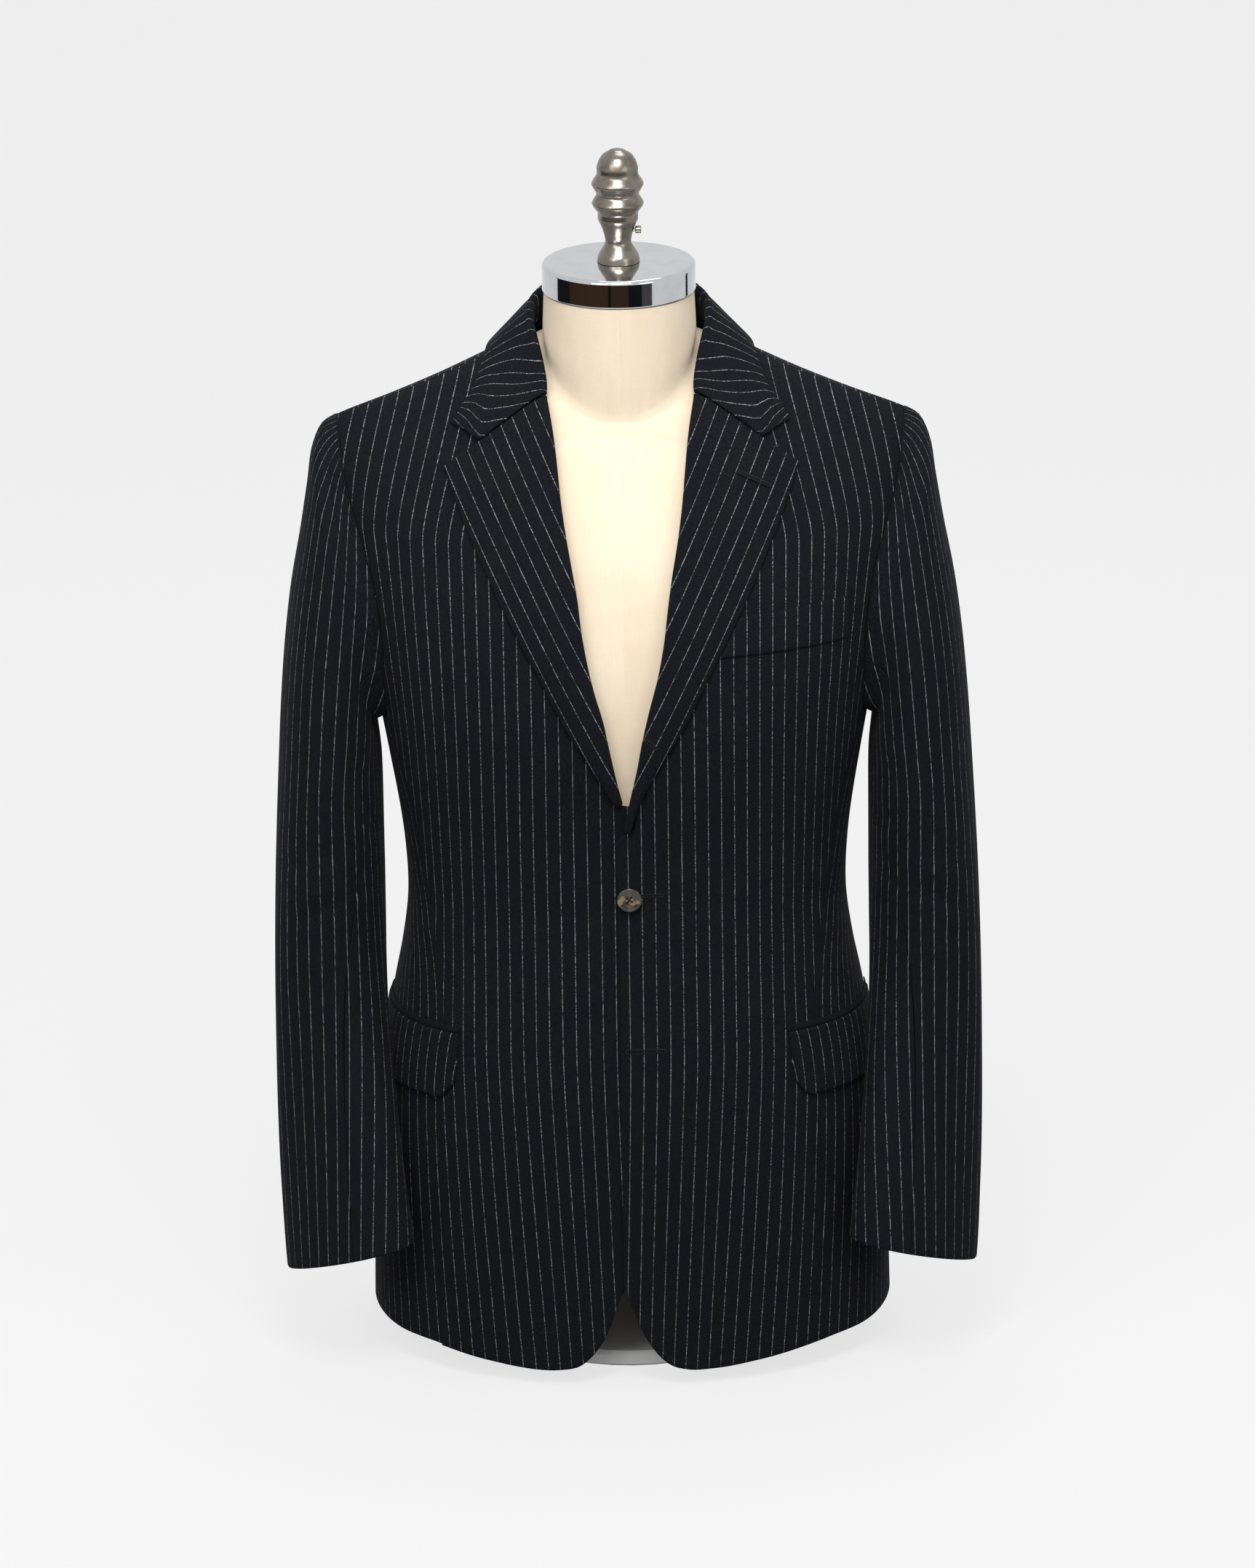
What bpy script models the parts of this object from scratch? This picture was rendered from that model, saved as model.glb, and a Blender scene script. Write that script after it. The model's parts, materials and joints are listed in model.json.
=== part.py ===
"""Chalk stripe suit jacket on a limbless dress form.

Metres, +Z up, front towards -Y, +X the wearer's left. The origin is on the floor under the base.
Each cut piece of cloth is a wall of its own, laid on one table-driven figure of the jacket.
"""
import math

import bmesh
import bpy
import numpy as np

for old in list(bpy.data.objects):
    bpy.data.objects.remove(old, do_unlink=True)

# Cloth and seams
CLOTH = 0.0020            # shell cloth with its lining
TURNED_CLOTH = 0.0022     # lapels and collar
SEAM = 0.0003             # gap between two pieces that are sewn together
LAID = 0.0012             # gap under cloth that lies on other cloth
FOLD = 0.0034             # outer radius where a lapel or the collar turns over
FOLD_ROOM = 0.0052        # from the rolled edge to the front's cut edge, measured in x
SLEEVE_ROOM = 0.0006      # armhole edge to the sleeve's first ring
COLLAR_LIFT = 0.0046      # outer face of the collar's leaf over the body
COLLAR_FOOT = 0.0015      # lower edge of the collar's stand over the neck seam
UNDERLAP = 0.0031         # how far the right front lies inside the left one
FOLD_OFF = 0.0012         # a fold's middle over the cloth that it turns on
LAPEL_SPRING = 0.0046     # outer face of a lapel over the body, by its fold
LAPEL_BULGE = 0.0030      # and this much more halfway to its edge
LAPEL_ROWS, LAPEL_COLUMNS = 14, 6
COLLAR_ROWS, COLLAR_COLUMNS = 13, 6       # half the collar's length; fold to edge
SHOULDER_SHARE = 0.45     # share of the half collar from the gorge to the shoulder seam
NOTCH_SHARE = 2 / 3       # share of the collar's end from the fold to the notch
COLLAR_LEAN = 0.16        # how far the stand leans in to the neck
COLLAR_SOFTNESS = 0.002   # how softly the leaf rests on the shoulders

# The figure below and above the foot of the armholes
CHEST_LEVEL = 0.520
SQUARENESS = 2.3          # power of the body's superellipse sections
SHOULDER_REACH = 0.240    # half width that the chest's depth curve opens to at the shoulder
FRONT, BACK = -1, 1
RISE = {FRONT: 1.0, BACK: 0.5}
FALL = {FRONT: 1.65, BACK: 1.03}
RIDGE = {FRONT: 0.5, BACK: 0.0}   # how softly the surface turns over at the shoulder seam
CENTRE_X = -0.0055        # the line where the two fronts part at the hem
EDGE_X = -0.0066          # the left front's edge, past the centre
UNDER_EDGE = -0.012       # the right front's hidden edge, past the centre
BACK_NECK_LIFT = 58.0     # degrees up the back where the neck's edge crosses the centre
NECK_HALF_WIDTH = 0.072   # neck's edge at the shoulder seam
VENT_TOP = 0.240
VENT_LAP = 0.028
GORGE_TOP = 0.770         # where the lapel's fold meets the collar
GORGE_NOTCH = (0.1070, 0.7380)
LAPEL_CORNER = (0.1348, 0.7195)
LAPEL_FOOT = {1: 0.452, -1: 0.4735}       # where each hand's fold starts; 1 is the wearer's left
EDGE_STEP = {1: (0.4478, 0.4508), -1: (0.4692, 0.4720)}   # where the cut edge goes under the fold

# Closure and pockets
BUTTON_RADIUS = 0.0095
BUTTON_HEIGHT = 0.0038
BUTTON_PLACE = (0.0016, 0.3965)
SLEEVE_BUTTON_RADIUS = 0.0072
SLEEVE_BUTTON_COLUMN = 2  # points past the back seam
SLEEVE_BUTTON_STEP = 0.15 # how far the upper one is moved on towards the next ring
FLAP_TOP_FRONT = 0.2795
FLAP_TOP_REAR = 0.2725
FLAP_DROP = 0.0520
FLAP_ANGLES = {1: (39.0, 93.6), -1: (42.4, 97.0)}       # for each hand
FLAP_CORNER = 0.014
FLAP_WIDTH = 0.150
FLAP_CLOTH = 0.0024
JET_HEIGHT = 0.0050
JET_CLOTH = 0.0014
WELT_OUTER = 0.171        # x of the welt's outer end
WELT_TOP = (0.6165, 0.6210)
WELT_LOW = (0.5875, 0.5890)
WELT_CLOTH = 0.0016

# Dress form
NECK_RADIUS = 0.0575
NECK_TOP = 0.8430
CAP_RADIUS = 0.0588
CAP_TOP = 0.8654
CAP_BAND = 0.0215
FORM_FOOT = 0.105
FORM_EASE = 0.0065        # form to cloth on the body
FORM_SKIRT_EASE = 0.010   # and this much more towards its foot
FORM_SEAT = 0.0016        # form to cloth along the shoulders, where the jacket rests
POLE_RADIUS = 0.013
POLE_Y = 0.038
BASE_RADIUS = 0.108
BASE_THICKNESS = 0.012


class Table:
    """Rows of named columns, read on a smooth curve along the first column."""

    def __init__(self, columns, rows):
        self.columns = columns.split()
        data = np.array(rows, float)
        self.keys, self.values = data[:, 0], data[:, 1:]
        self.slopes = np.gradient(self.values, self.keys, axis=0)

    def __call__(self, key):
        key = min(max(key, self.keys[0]), self.keys[-1])
        row = min(int(np.searchsorted(self.keys, key, side="right")) - 1, len(self.keys) - 2)
        step = self.keys[row + 1] - self.keys[row]
        t = (key - self.keys[row]) / step
        low, high = self.values[row], self.values[row + 1]
        value = low + (high - low) * t * t * (3 - 2 * t)
        value = value + step * (t * (1 - t) ** 2 * self.slopes[row] - t * t * (1 - t) * self.slopes[row + 1])
        return value if len(value) > 1 else float(value[0])


GIRTH = Table("height half_width front back", [
    (0.010, 0.2030, 0.1500, 0.1400),
    (0.080, 0.2015, 0.1500, 0.1410),
    (0.150, 0.1985, 0.1500, 0.1420),
    (0.200, 0.1940, 0.1485, 0.1405),
    (0.250, 0.1880, 0.1460, 0.1370),
    (0.300, 0.1795, 0.1410, 0.1280),
    (0.336, 0.1724, 0.1370, 0.1190),
    (0.370, 0.1700, 0.1340, 0.1130),
    (0.430, 0.1750, 0.1340, 0.1120),
    (0.480, 0.1830, 0.1385, 0.1200),
    (0.520, 0.1900, 0.1400, 0.1270),
])
SHOULDER = Table("x height y", [
    (0.000, 0.8350, 0.024),
    (0.045, 0.8200, 0.021),
    (0.066, 0.8080, 0.019),
    (0.088, 0.7970, 0.017),
    (0.133, 0.7760, 0.013),
    (0.178, 0.7585, 0.010),
    (0.2175, 0.7450, 0.008),
    (0.240, 0.7350, 0.008),
])
ARMHOLE = Table("height x", [
    (0.520, 0.1830),
    (0.575, 0.1850),
    (0.624, 0.1905),
    (0.655, 0.1985),
    (0.690, 0.2090),
    (0.720, 0.2150),
    (0.745, 0.2175),
])
ROLL_LINE = Table("height x", [
    (0.409, -0.0066),
    (0.440, -0.0035),
    (0.470, 0.0015),
    (0.510, 0.0103),
    (0.535, 0.0148),
    (0.570, 0.0243),
    (0.607, 0.0315),
    (0.634, 0.0347),
    (0.672, 0.0415),
    (0.698, 0.0455),
    (0.745, 0.0508),
    (0.772, 0.0560),
    (0.793, 0.0610),
    (0.806, 0.0680),
])
LAPEL_EDGE = Table("height x", [
    (0.452, 0.0034),
    (0.470, 0.0082),
    (0.509, 0.0290),
    (0.5374, 0.0462),
    (0.5687, 0.0620),
    (0.595, 0.0757),
    (0.620, 0.0890),
    (0.650, 0.1035),
    (0.685, 0.1205),
    (0.7195, 0.1348),
])
FRONT_HEM = Table("from_centre height", [
    (-0.020, 0.1000),
    (-0.006, 0.0930),
    (0.0000, 0.0810),
    (0.0056, 0.0670),
    (0.0143, 0.0430),
    (0.0240, 0.0275),
    (0.0355, 0.0163),
    (0.0580, 0.0128),
    (0.1030, 0.0158),
    (0.1500, 0.0218),
    (0.2050, 0.0268),
])
SIDE_SEAMS = Table("height front_x back_x", [
    (0.010, 0.1500, 0.1650),
    (0.200, 0.1480, 0.1580),
    (0.306, 0.1443, 0.1500),
    (0.386, 0.1544, 0.1520),
    (0.450, 0.1650, 0.1630),
    (0.520, 0.1830, 0.1830),
])
# Rows of the panels up to the chest; close pairs lie where a front's cut edge steps back
LEVELS = (0, 0.012, 0.030, 0.055, 0.085, 0.120, 0.160, 0.205, 0.250, 0.285, 0.320, 0.360, 0.405,
          0.4475, 0.4510, 0.4690, 0.4722, 0.486, 0.503, 0.520)
YOKE_ROWS = 9             # rows from the chest to the shoulder seam
FRONT_COLUMNS, SIDE_COLUMNS, BACK_COLUMNS = 11, 6, 9
COLLAR_LEAF = Table("along x height", [
    (0.00, 0.1288, 0.7470),
    (0.35, 0.1185, 0.7605),
    (0.70, 0.1090, 0.7740),
    (1.00, 0.1020, 0.7905),
])
COLLAR_BACK = Table("along x y", [
    (0.00, 0.1020, 0.016),
    (0.25, 0.0930, 0.044),
    (0.50, 0.0720, 0.067),
    (0.75, 0.0400, 0.083),
    (1.00, 0.0000, 0.090),
])
COLLAR_RISE = Table("along rise", [
    (0.00, 0.0057),
    (0.20, 0.0090),
    (0.45, 0.0225),
    (0.70, 0.0310),
    (1.00, 0.0340),
])
# Sleeve rings: the outer and inner ends of each, its middle in y, its half depth,
# how far it is turned about the arm, and how far it has left the armhole's own shape
SLEEVE = Table("ring outer_x outer_z inner_x inner_z middle_y half_depth turn free", [
    (0, 0.2178, 0.7450, 0.1903, 0.5200, 0.004, 0.0660, 0, 0.0),
    (1, 0.2275, 0.7400, 0.1925, 0.5110, 0.003, 0.0675, 0, 0.3),
    (2, 0.2350, 0.7290, 0.1925, 0.5050, 0.002, 0.0690, 0, 0.6),
    (3, 0.2400, 0.7050, 0.1918, 0.4985, 0.001, 0.0705, 0, 0.8),
    (4, 0.2445, 0.6720, 0.1910, 0.4920, 0.000, 0.0720, 0, 0.95),
    (5, 0.2525, 0.6330, 0.1900, 0.4850, -0.001, 0.0735, 0, 1.0),
    (6, 0.2590, 0.5900, 0.1890, 0.4770, -0.002, 0.0740, 0, 1.0),
    (7, 0.2638, 0.5450, 0.1885, 0.4670, -0.003, 0.0735, 0, 1.0),
    (8, 0.2672, 0.4960, 0.1882, 0.4520, -0.005, 0.0720, 0, 1.0),
    (9, 0.2698, 0.4470, 0.1882, 0.4280, -0.008, 0.0700, 2, 1.0),
    (10, 0.2718, 0.4030, 0.1882, 0.3960, -0.013, 0.0670, 5, 1.0),
    (11, 0.2730, 0.3580, 0.1882, 0.3600, -0.021, 0.0640, 10, 1.0),
    (12, 0.2738, 0.3120, 0.1885, 0.3240, -0.032, 0.0610, 16, 1.0),
    (13, 0.2740, 0.2640, 0.1875, 0.2850, -0.046, 0.0580, 22, 1.0),
    (14, 0.2740, 0.2160, 0.1845, 0.2410, -0.060, 0.0550, 28, 1.0),
    (15, 0.2732, 0.1675, 0.1800, 0.1945, -0.073, 0.0520, 33, 1.0),
    (16, 0.2712, 0.1220, 0.1750, 0.1490, -0.084, 0.0495, 37, 1.0),
    (17, 0.2685, 0.0780, 0.1695, 0.1050, -0.093, 0.0475, 40, 1.0),
])
SLEEVE_POINTS = 2 * YOKE_ROWS + SIDE_COLUMNS - 1      # one for each point of the armhole's edge
FRONT_SEAM, BACK_SEAM = 8, 16
SLEEVE_ROWS = 18
SLEEVE_SQUARENESS = 2.15
FLAT_RATIO = 0.56         # a cuff's short half width over its long one
FULL_TURN = 40            # degrees by which the cuff is turned

FORM_COLUMNS = 32
FORM_ROWS = 10            # from the form's foot to the chest
FORM_LIFTS = (12, 24, 36, 47)
FORM_DRAWS = (0.10, 0.28, 0.50, 0.72, 0.90, 1.0)      # from the shoulders, 0, in to the neck, 1
FORM_SHOULDER = (0.178, 0.012)            # half width at the armholes, and how much it grows upwards
FORM_SHOULDER_DROP = 0.003
FORM_SIDE_Y = 0.006       # where the form's flat armhole sides lie, front to back
FORM_NECK_Y = 0.004
FORM_NECK_EASE = 0.002    # the neck's foot is this much wider than its top
FINIAL = Table("height radius", [
    (0.0000, 0.0163),
    (0.0045, 0.0156),
    (0.0095, 0.0130),
    (0.0140, 0.0103),
    (0.0220, 0.0110),
    (0.0280, 0.0130),
    (0.0330, 0.0153),
    (0.0395, 0.0160),
    (0.0430, 0.0186),
    (0.0458, 0.0198),
    (0.0486, 0.0186),
    (0.0530, 0.0163),
    (0.0580, 0.0186),
    (0.0610, 0.0199),
    (0.0640, 0.0187),
    (0.0675, 0.0164),
    (0.0750, 0.0156),
    (0.0805, 0.0135),
    (0.0845, 0.0103),
    (0.0870, 0.0060),
])
FINIAL_TOP = 0.0880
SET_SCREW_HEIGHT = 0.0245
SET_SCREW_RADIUS = 0.0030
SET_SCREW_LENGTH = 0.0045

COLOURS = {
    "flannel": ((0.0115, 0.0130, 0.0175), 0.9, 0.0),
    "horn": ((0.060, 0.038, 0.020), 0.3, 0.0),
    "linen": ((0.720, 0.640, 0.520), 0.85, 0.0),
    "chrome": ((0.720, 0.720, 0.730), 0.12, 1.0),
    "nickel": ((0.620, 0.610, 0.590), 0.3, 1.0),
    "base paint": ((0.800, 0.800, 0.790), 0.5, 0.0),
}

jacket = bpy.data.collections.new("chalk_stripe_suit")
bpy.context.scene.collection.children.link(jacket)


def unit(vector):
    """A vector, or each of an array of vectors, at length one."""
    vector = np.asarray(vector, float)
    return vector / np.linalg.norm(vector, axis=-1, keepdims=True)


def ease(low, high, value):
    """A smooth step from 0 at low to 1 at high."""
    t = min(max((value - low) / (high - low), 0.0), 1.0)
    return t * t * (3 - 2 * t)


def finish(name, mesh, look):
    """Put a mesh in the scene as one named piece with its own material."""
    piece = bpy.data.objects.new(name, mesh)
    jacket.objects.link(piece)
    colour, roughness, metallic = COLOURS[look]
    material = bpy.data.materials.new(name + " " + look)
    material.use_nodes = True
    shader = material.node_tree.nodes["Principled BSDF"]
    shader.inputs["Base Color"].default_value = (*colour, 1.0)
    shader.inputs["Roughness"].default_value = roughness
    shader.inputs["Metallic"].default_value = metallic
    mesh.materials.append(material)
    mesh.shade_smooth()
    mesh.set_sharp_from_angle(angle=math.radians(40))
    return piece


# The figure that every cloth piece is laid on

def section_depth(x, half_width, depth):
    """Depth of a superellipse section at x."""
    return depth * max(0.0, 1 - (abs(x) / half_width) ** SQUARENESS) ** (1 / SQUARENESS)


def torso(angle, height):
    """Outer face below the armholes; angle 0 is the front centre and 180 degrees the back."""
    half_width, front, back = GIRTH(height)
    across, along = math.sin(angle), math.cos(angle)
    x = half_width * math.copysign(abs(across) ** (2 / SQUARENESS), across)
    reach = front if along > 0 else back
    y = -math.copysign(reach * abs(along) ** (2 / SQUARENESS), along)
    return np.array((x, y, height))


def yoke(x, lift, side):
    """Outer face from the foot of the armholes, lift 0, to the shoulder seam, lift 90 degrees."""
    half_width, front, back = GIRTH(CHEST_LEVEL)
    top, top_y = SHOULDER(abs(x))
    reach = half_width + (SHOULDER_REACH - half_width) * math.sin(lift)
    low_y = side * section_depth(x, reach, front if side == FRONT else back)
    height = CHEST_LEVEL + (top - CHEST_LEVEL) * math.sin(lift) ** RISE[side]
    level = max(0.0, math.cos(lift))
    fall = math.hypot(level ** FALL[side], RIDGE[side] * level) / math.hypot(1, RIDGE[side])
    return np.array((x, top_y + (low_y - top_y) * fall, height))


def back_neck(lift):
    """Half width of the neck's edge on the back, at a lift in degrees."""
    return NECK_HALF_WIDTH * math.sqrt(max(0.0, lift - BACK_NECK_LIFT) / (90.0 - BACK_NECK_LIFT))


def facing_out(function, first, second, outward):
    """Unit normal of a surface function, on the side that outward points to."""
    step = 1e-3
    along = function(first + step, second) - function(first - step, second)
    up = function(first, second + step) - function(first, second - step)
    normal = unit(np.cross(along, up))
    return normal if normal @ outward > 0 else -normal


def torso_spot(angle, height):
    """Point and normal on the torso."""
    spot = torso(angle, height)
    return spot, facing_out(torso, angle, height, np.array((spot[0], spot[1], 0.0)))


def yoke_spot(x, lift, side):
    """Point and normal on the yoke, upright at the shoulder seam."""
    inner = min(max(lift, 0.02), math.radians(88.5))
    normal = facing_out(lambda a, b: yoke(a, b, side), x, inner, np.array((0.0, side * 1.0, 0.6)))
    if lift > math.radians(88.5):
        slope = (SHOULDER(abs(x) + 1e-3)[0] - SHOULDER(abs(x) - 1e-3)[0]) / 2e-3
        normal = unit((-slope * math.copysign(1, x), 0.0, 1.0))
    return yoke(x, lift, side), normal


def angle_at(x, height, side=FRONT):
    """Angle of the torso section at x, on its front or its back."""
    ratio = min(1.0, abs(x) / GIRTH(height)[0])
    angle = math.asin(ratio ** (SQUARENESS / 2))
    if side == BACK:
        angle = math.pi - angle
    return math.copysign(angle, x)


def front_spot(x, height):
    """Point and normal of the jacket's front at x and a height."""
    if height <= CHEST_LEVEL:
        return torso_spot(angle_at(x, height), height)
    top = SHOULDER(abs(x))[0]
    lift = math.asin(min(1.0, (height - CHEST_LEVEL) / (top - CHEST_LEVEL)))
    return yoke_spot(x, lift, FRONT)


def top_spot(x, y):
    """Point and normal of the shoulders and upper back over x and y."""
    side = BACK if y > SHOULDER(abs(x))[1] else FRONT
    low, high = 0.0, math.pi / 2
    for _ in range(40):
        middle = (low + high) / 2
        if side * yoke(x, middle, side)[1] > side * y:
            low = middle
        else:
            high = middle
    return yoke_spot(x, low, side)


def underlap(x, height):
    """How far the right front lies inside the figure, under the left one."""
    return UNDERLAP * (1 - ease(0.470, 0.505, height)) * (1 - ease(0.020, 0.070, -x))


# Walls of cloth

def sheet_mesh(outer, inner):
    """A closed wall between two grids of points, made from a grid that is extruded."""
    rows, columns = outer.shape[:2]
    maker = bmesh.new()
    bmesh.ops.create_grid(maker, x_segments=columns - 1, y_segments=rows - 1, size=1.0)
    place = maker.verts.layers.int.new("place")
    ordered = sorted(maker.verts, key=lambda v: (round(v.co.y, 5), round(v.co.x, 5)))
    for index, vert in enumerate(ordered):
        vert[place] = index
        vert.co = outer[index // columns, index % columns]
    grown = bmesh.ops.extrude_face_region(maker, geom=maker.faces[:])
    for item in grown["geom"]:
        if isinstance(item, bmesh.types.BMVert):
            index = item[place]
            item.co = inner[index // columns, index % columns]
    bmesh.ops.recalc_face_normals(maker, faces=maker.faces[:])
    mesh = bpy.data.meshes.new("wall")
    maker.to_mesh(mesh)
    maker.free()
    return mesh


def set_back(points, sides, distance=SEAM / 2):
    """Pull the named sides of a grid in, so that neighbours keep a seam's gap."""
    points = points.copy()
    if "first_row" in sides:
        points[0] += unit(points[1] - points[0]) * distance
    if "last_row" in sides:
        points[-1] += unit(points[-2] - points[-1]) * distance
    if "first_column" in sides:
        points[:, 0] += unit(points[:, 1] - points[:, 0]) * distance
    if "last_column" in sides:
        points[:, -1] += unit(points[:, -2] - points[:, -1]) * distance
    return points


def cloth_wall(name, points, normals, sides=(), thickness=CLOTH):
    """One piece of cloth: the outer points, and the same points moved in by its thickness."""
    outer = set_back(points, sides)
    return finish(name, sheet_mesh(outer, outer - normals * thickness), "flannel")


def grid_of(spots):
    """Points and normals from a grid of (point, normal) pairs."""
    points = np.array([[spot[0] for spot in row] for row in spots])
    normals = np.array([[spot[1] for spot in row] for row in spots])
    return points, normals


def moved_out(spot, distance):
    """A spot moved along its normal."""
    return spot[0] + spot[1] * distance, spot[1]


def mirrored(points):
    """The other side's points."""
    return points * np.array((-1.0, 1.0, 1.0))


# The body panels

def side_hem(angle):
    """Height of the hem from the front seam round to the back centre."""
    return 0.0240 + 0.0030 * math.sin(angle)


def row_height(level, hem):
    """Height of a row: the hem's own curve at the foot, level rows above it."""
    return level + hem * max(0.0, 1 - level / 0.26)


def front_hem(x, hand):
    """Height of the front hem, rounded away at the centre; hand is 1 for the wearer's left."""
    return FRONT_HEM(hand * (x - CENTRE_X))


def fold_room(height, hand):
    """How far the front's cut edge lies behind the rolled edge of its lapel."""
    return FOLD_ROOM * ease(*EDGE_STEP[hand], height)


def front_edge(height, hand):
    """Distance of a front's cut edge from the centre, on its own side."""
    rolled = ROLL_LINE(height) + fold_room(height, hand)
    if hand > 0:
        return rolled if height > ROLL_LINE.keys[0] else EDGE_X
    return UNDER_EDGE + (rolled - UNDER_EDGE) * ease(*EDGE_STEP[hand], height)


def yoke_lift(row, side):
    """Lift of a row above the chest; on the back the rows spread where the surface turns."""
    return math.pi / 2 * (row / YOKE_ROWS) ** (1 / RISE[side])


def armhole_x(lift, side):
    """Half width of the armhole's edge at a lift."""
    x = ARMHOLE(CHEST_LEVEL)
    for _ in range(8):
        x = ARMHOLE(yoke(x, lift, side)[2])
    return x


def front_panel(name, hand):
    """A front: rounded hem, cut edge under the lapel, armhole and shoulder seam."""
    share = [(i / (FRONT_COLUMNS - 1)) ** 1.2 for i in range(FRONT_COLUMNS)]
    spots = []
    for level in LEVELS:
        row = []
        height = row_height(level, front_hem(hand * 0.10, hand))
        for s in share:
            for _ in range(3):
                start = angle_at(front_edge(height, hand), height)
                end = angle_at(SIDE_SEAMS(height)[0], height)
                x = torso(start + (end - start) * s, height)[0]
                height = row_height(level, front_hem(hand * x, hand))
            row.append(front_spot(x, height))
        spots.append(row)
    base_x = [spot[0][0] for spot in spots[-1]]
    share_x = [(x - base_x[0]) / (base_x[-1] - base_x[0]) for x in base_x]
    for j in range(1, YOKE_ROWS + 1):
        lift = yoke_lift(j, FRONT)
        near = base_x[0]
        for _ in range(8):
            near = front_edge(yoke(near, lift, FRONT)[2], 1)
        far = armhole_x(lift, FRONT)
        spots.append([yoke_spot(near + (far - near) * s, lift, FRONT) for s in share_x])
    points, normals = grid_of(spots)
    if hand < 0:
        points, normals = mirrored(points), mirrored(normals)
        for i, j in np.ndindex(points.shape[:2]):
            points[i, j] -= normals[i, j] * underlap(points[i, j, 0], points[i, j, 2])
    low = len(LEVELS)
    trimmed = points.copy()
    trimmed[:low] = set_back(points[:low], ("last_column",))
    return cloth_wall(name, trimmed, normals, ("last_row",))


def side_panel(name, hand):
    """A side body from the hem to the foot of the armhole."""
    spots = []
    for level in LEVELS:
        height = row_height(level, side_hem(0.0))
        for _ in range(4):
            front_angle = angle_at(SIDE_SEAMS(height)[0], height)
            height = row_height(level, front_hem(SIDE_SEAMS(height)[0], 1))
        first = height
        height = row_height(level, side_hem(math.pi / 2))
        back_angle = angle_at(SIDE_SEAMS(height)[1], height, BACK)
        last = row_height(level, side_hem(back_angle))
        row = []
        for s in np.linspace(0, 1, SIDE_COLUMNS):
            row.append(torso_spot(front_angle + (back_angle - front_angle) * s, first + (last - first) * s))
        spots.append(row)
    points, normals = grid_of(spots)
    if hand < 0:
        points, normals = mirrored(points), mirrored(normals)
    return cloth_wall(name, points, normals, ("first_column", "last_column"))


def back_panel(name, hand):
    """A back: side seam to the centre seam, with the vent's lap below, up to the shoulder seam."""
    spots = []
    for level in LEVELS:
        height = row_height(level, side_hem(math.pi / 2))
        start = angle_at(SIDE_SEAMS(height)[1], height, BACK)
        height = row_height(level, side_hem(start))
        lap = 0.0
        if hand < 0:
            lap = VENT_LAP * (1 - ease(VENT_TOP - 0.03, VENT_TOP, height))
        end = math.pi + (math.pi - angle_at(lap, height, BACK))
        spots.append([torso_spot(start + (end - start) * s, height) for s in np.linspace(0, 1, BACK_COLUMNS)])
    base_x = [spot[0][0] for spot in spots[-1]]
    share_x = [x / base_x[0] for x in base_x]
    for j in range(1, YOKE_ROWS + 1):
        lift = yoke_lift(j, BACK)
        near = back_neck(math.degrees(lift))
        far = armhole_x(lift, BACK)
        spots.append([yoke_spot(near + (far - near) * s, lift, BACK) for s in share_x])
    points, normals = grid_of(spots)
    if hand < 0:
        points, normals = mirrored(points), mirrored(normals)
        for i, j in np.ndindex(points.shape[:2]):
            x, height = points[i, j, 0], points[i, j, 2]
            depth = UNDERLAP * (1 - ease(VENT_TOP, VENT_TOP + 0.05, height))
            if points[i, j, 1] > 0:
                points[i, j] -= normals[i, j] * depth * (1 - ease(0.0, 0.05, -x))
    low = len(LEVELS)
    trimmed = points.copy()
    trimmed[:low] = set_back(points[:low], ("first_column",))
    trimmed = set_back(trimmed, ("last_column",))
    return cloth_wall(name, trimmed, normals, ("last_row",))


# Lapels and collar

def turned_edge(fold_point, rise, out):
    """Points round a fold: the cut end inside, then half a circle to the outer face."""
    middle = fold_point - rise * FOLD
    points = []
    for turn in (-90, -45, 0, 45, 90):
        turn = math.radians(turn)
        points.append(middle + rise * FOLD * math.cos(turn) + out * (FOLD_OFF + FOLD * math.sin(turn)))
    return points


def sheet_normals(points):
    """Normals of a grid of points, from its neighbours."""
    along = np.gradient(points, axis=1)
    up = np.gradient(points, axis=0)
    return unit(np.cross(along, up))


def hand_spot(x, height, hand):
    """Spot on one front, with the right front's underlap, from a distance on its own side."""
    point, normal = front_spot(x, height)
    if hand < 0:
        point, normal = mirrored(point), mirrored(normal)
        point = point - normal * underlap(point[0], point[2])
    return point, normal


def roll_frame(height, hand):
    """The rolled edge at a height: its point, the way to the opening, and the way out."""
    here, out = hand_spot(ROLL_LINE(height), height, hand)
    above = hand_spot(ROLL_LINE(height + 0.004), height + 0.004, hand)[0]
    below = hand_spot(ROLL_LINE(height - 0.004), height - 0.004, hand)[0]
    rise = unit(np.cross(unit(above - below), out))
    if rise[0] * hand > 0:
        rise = -rise
    return here, rise, out


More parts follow.
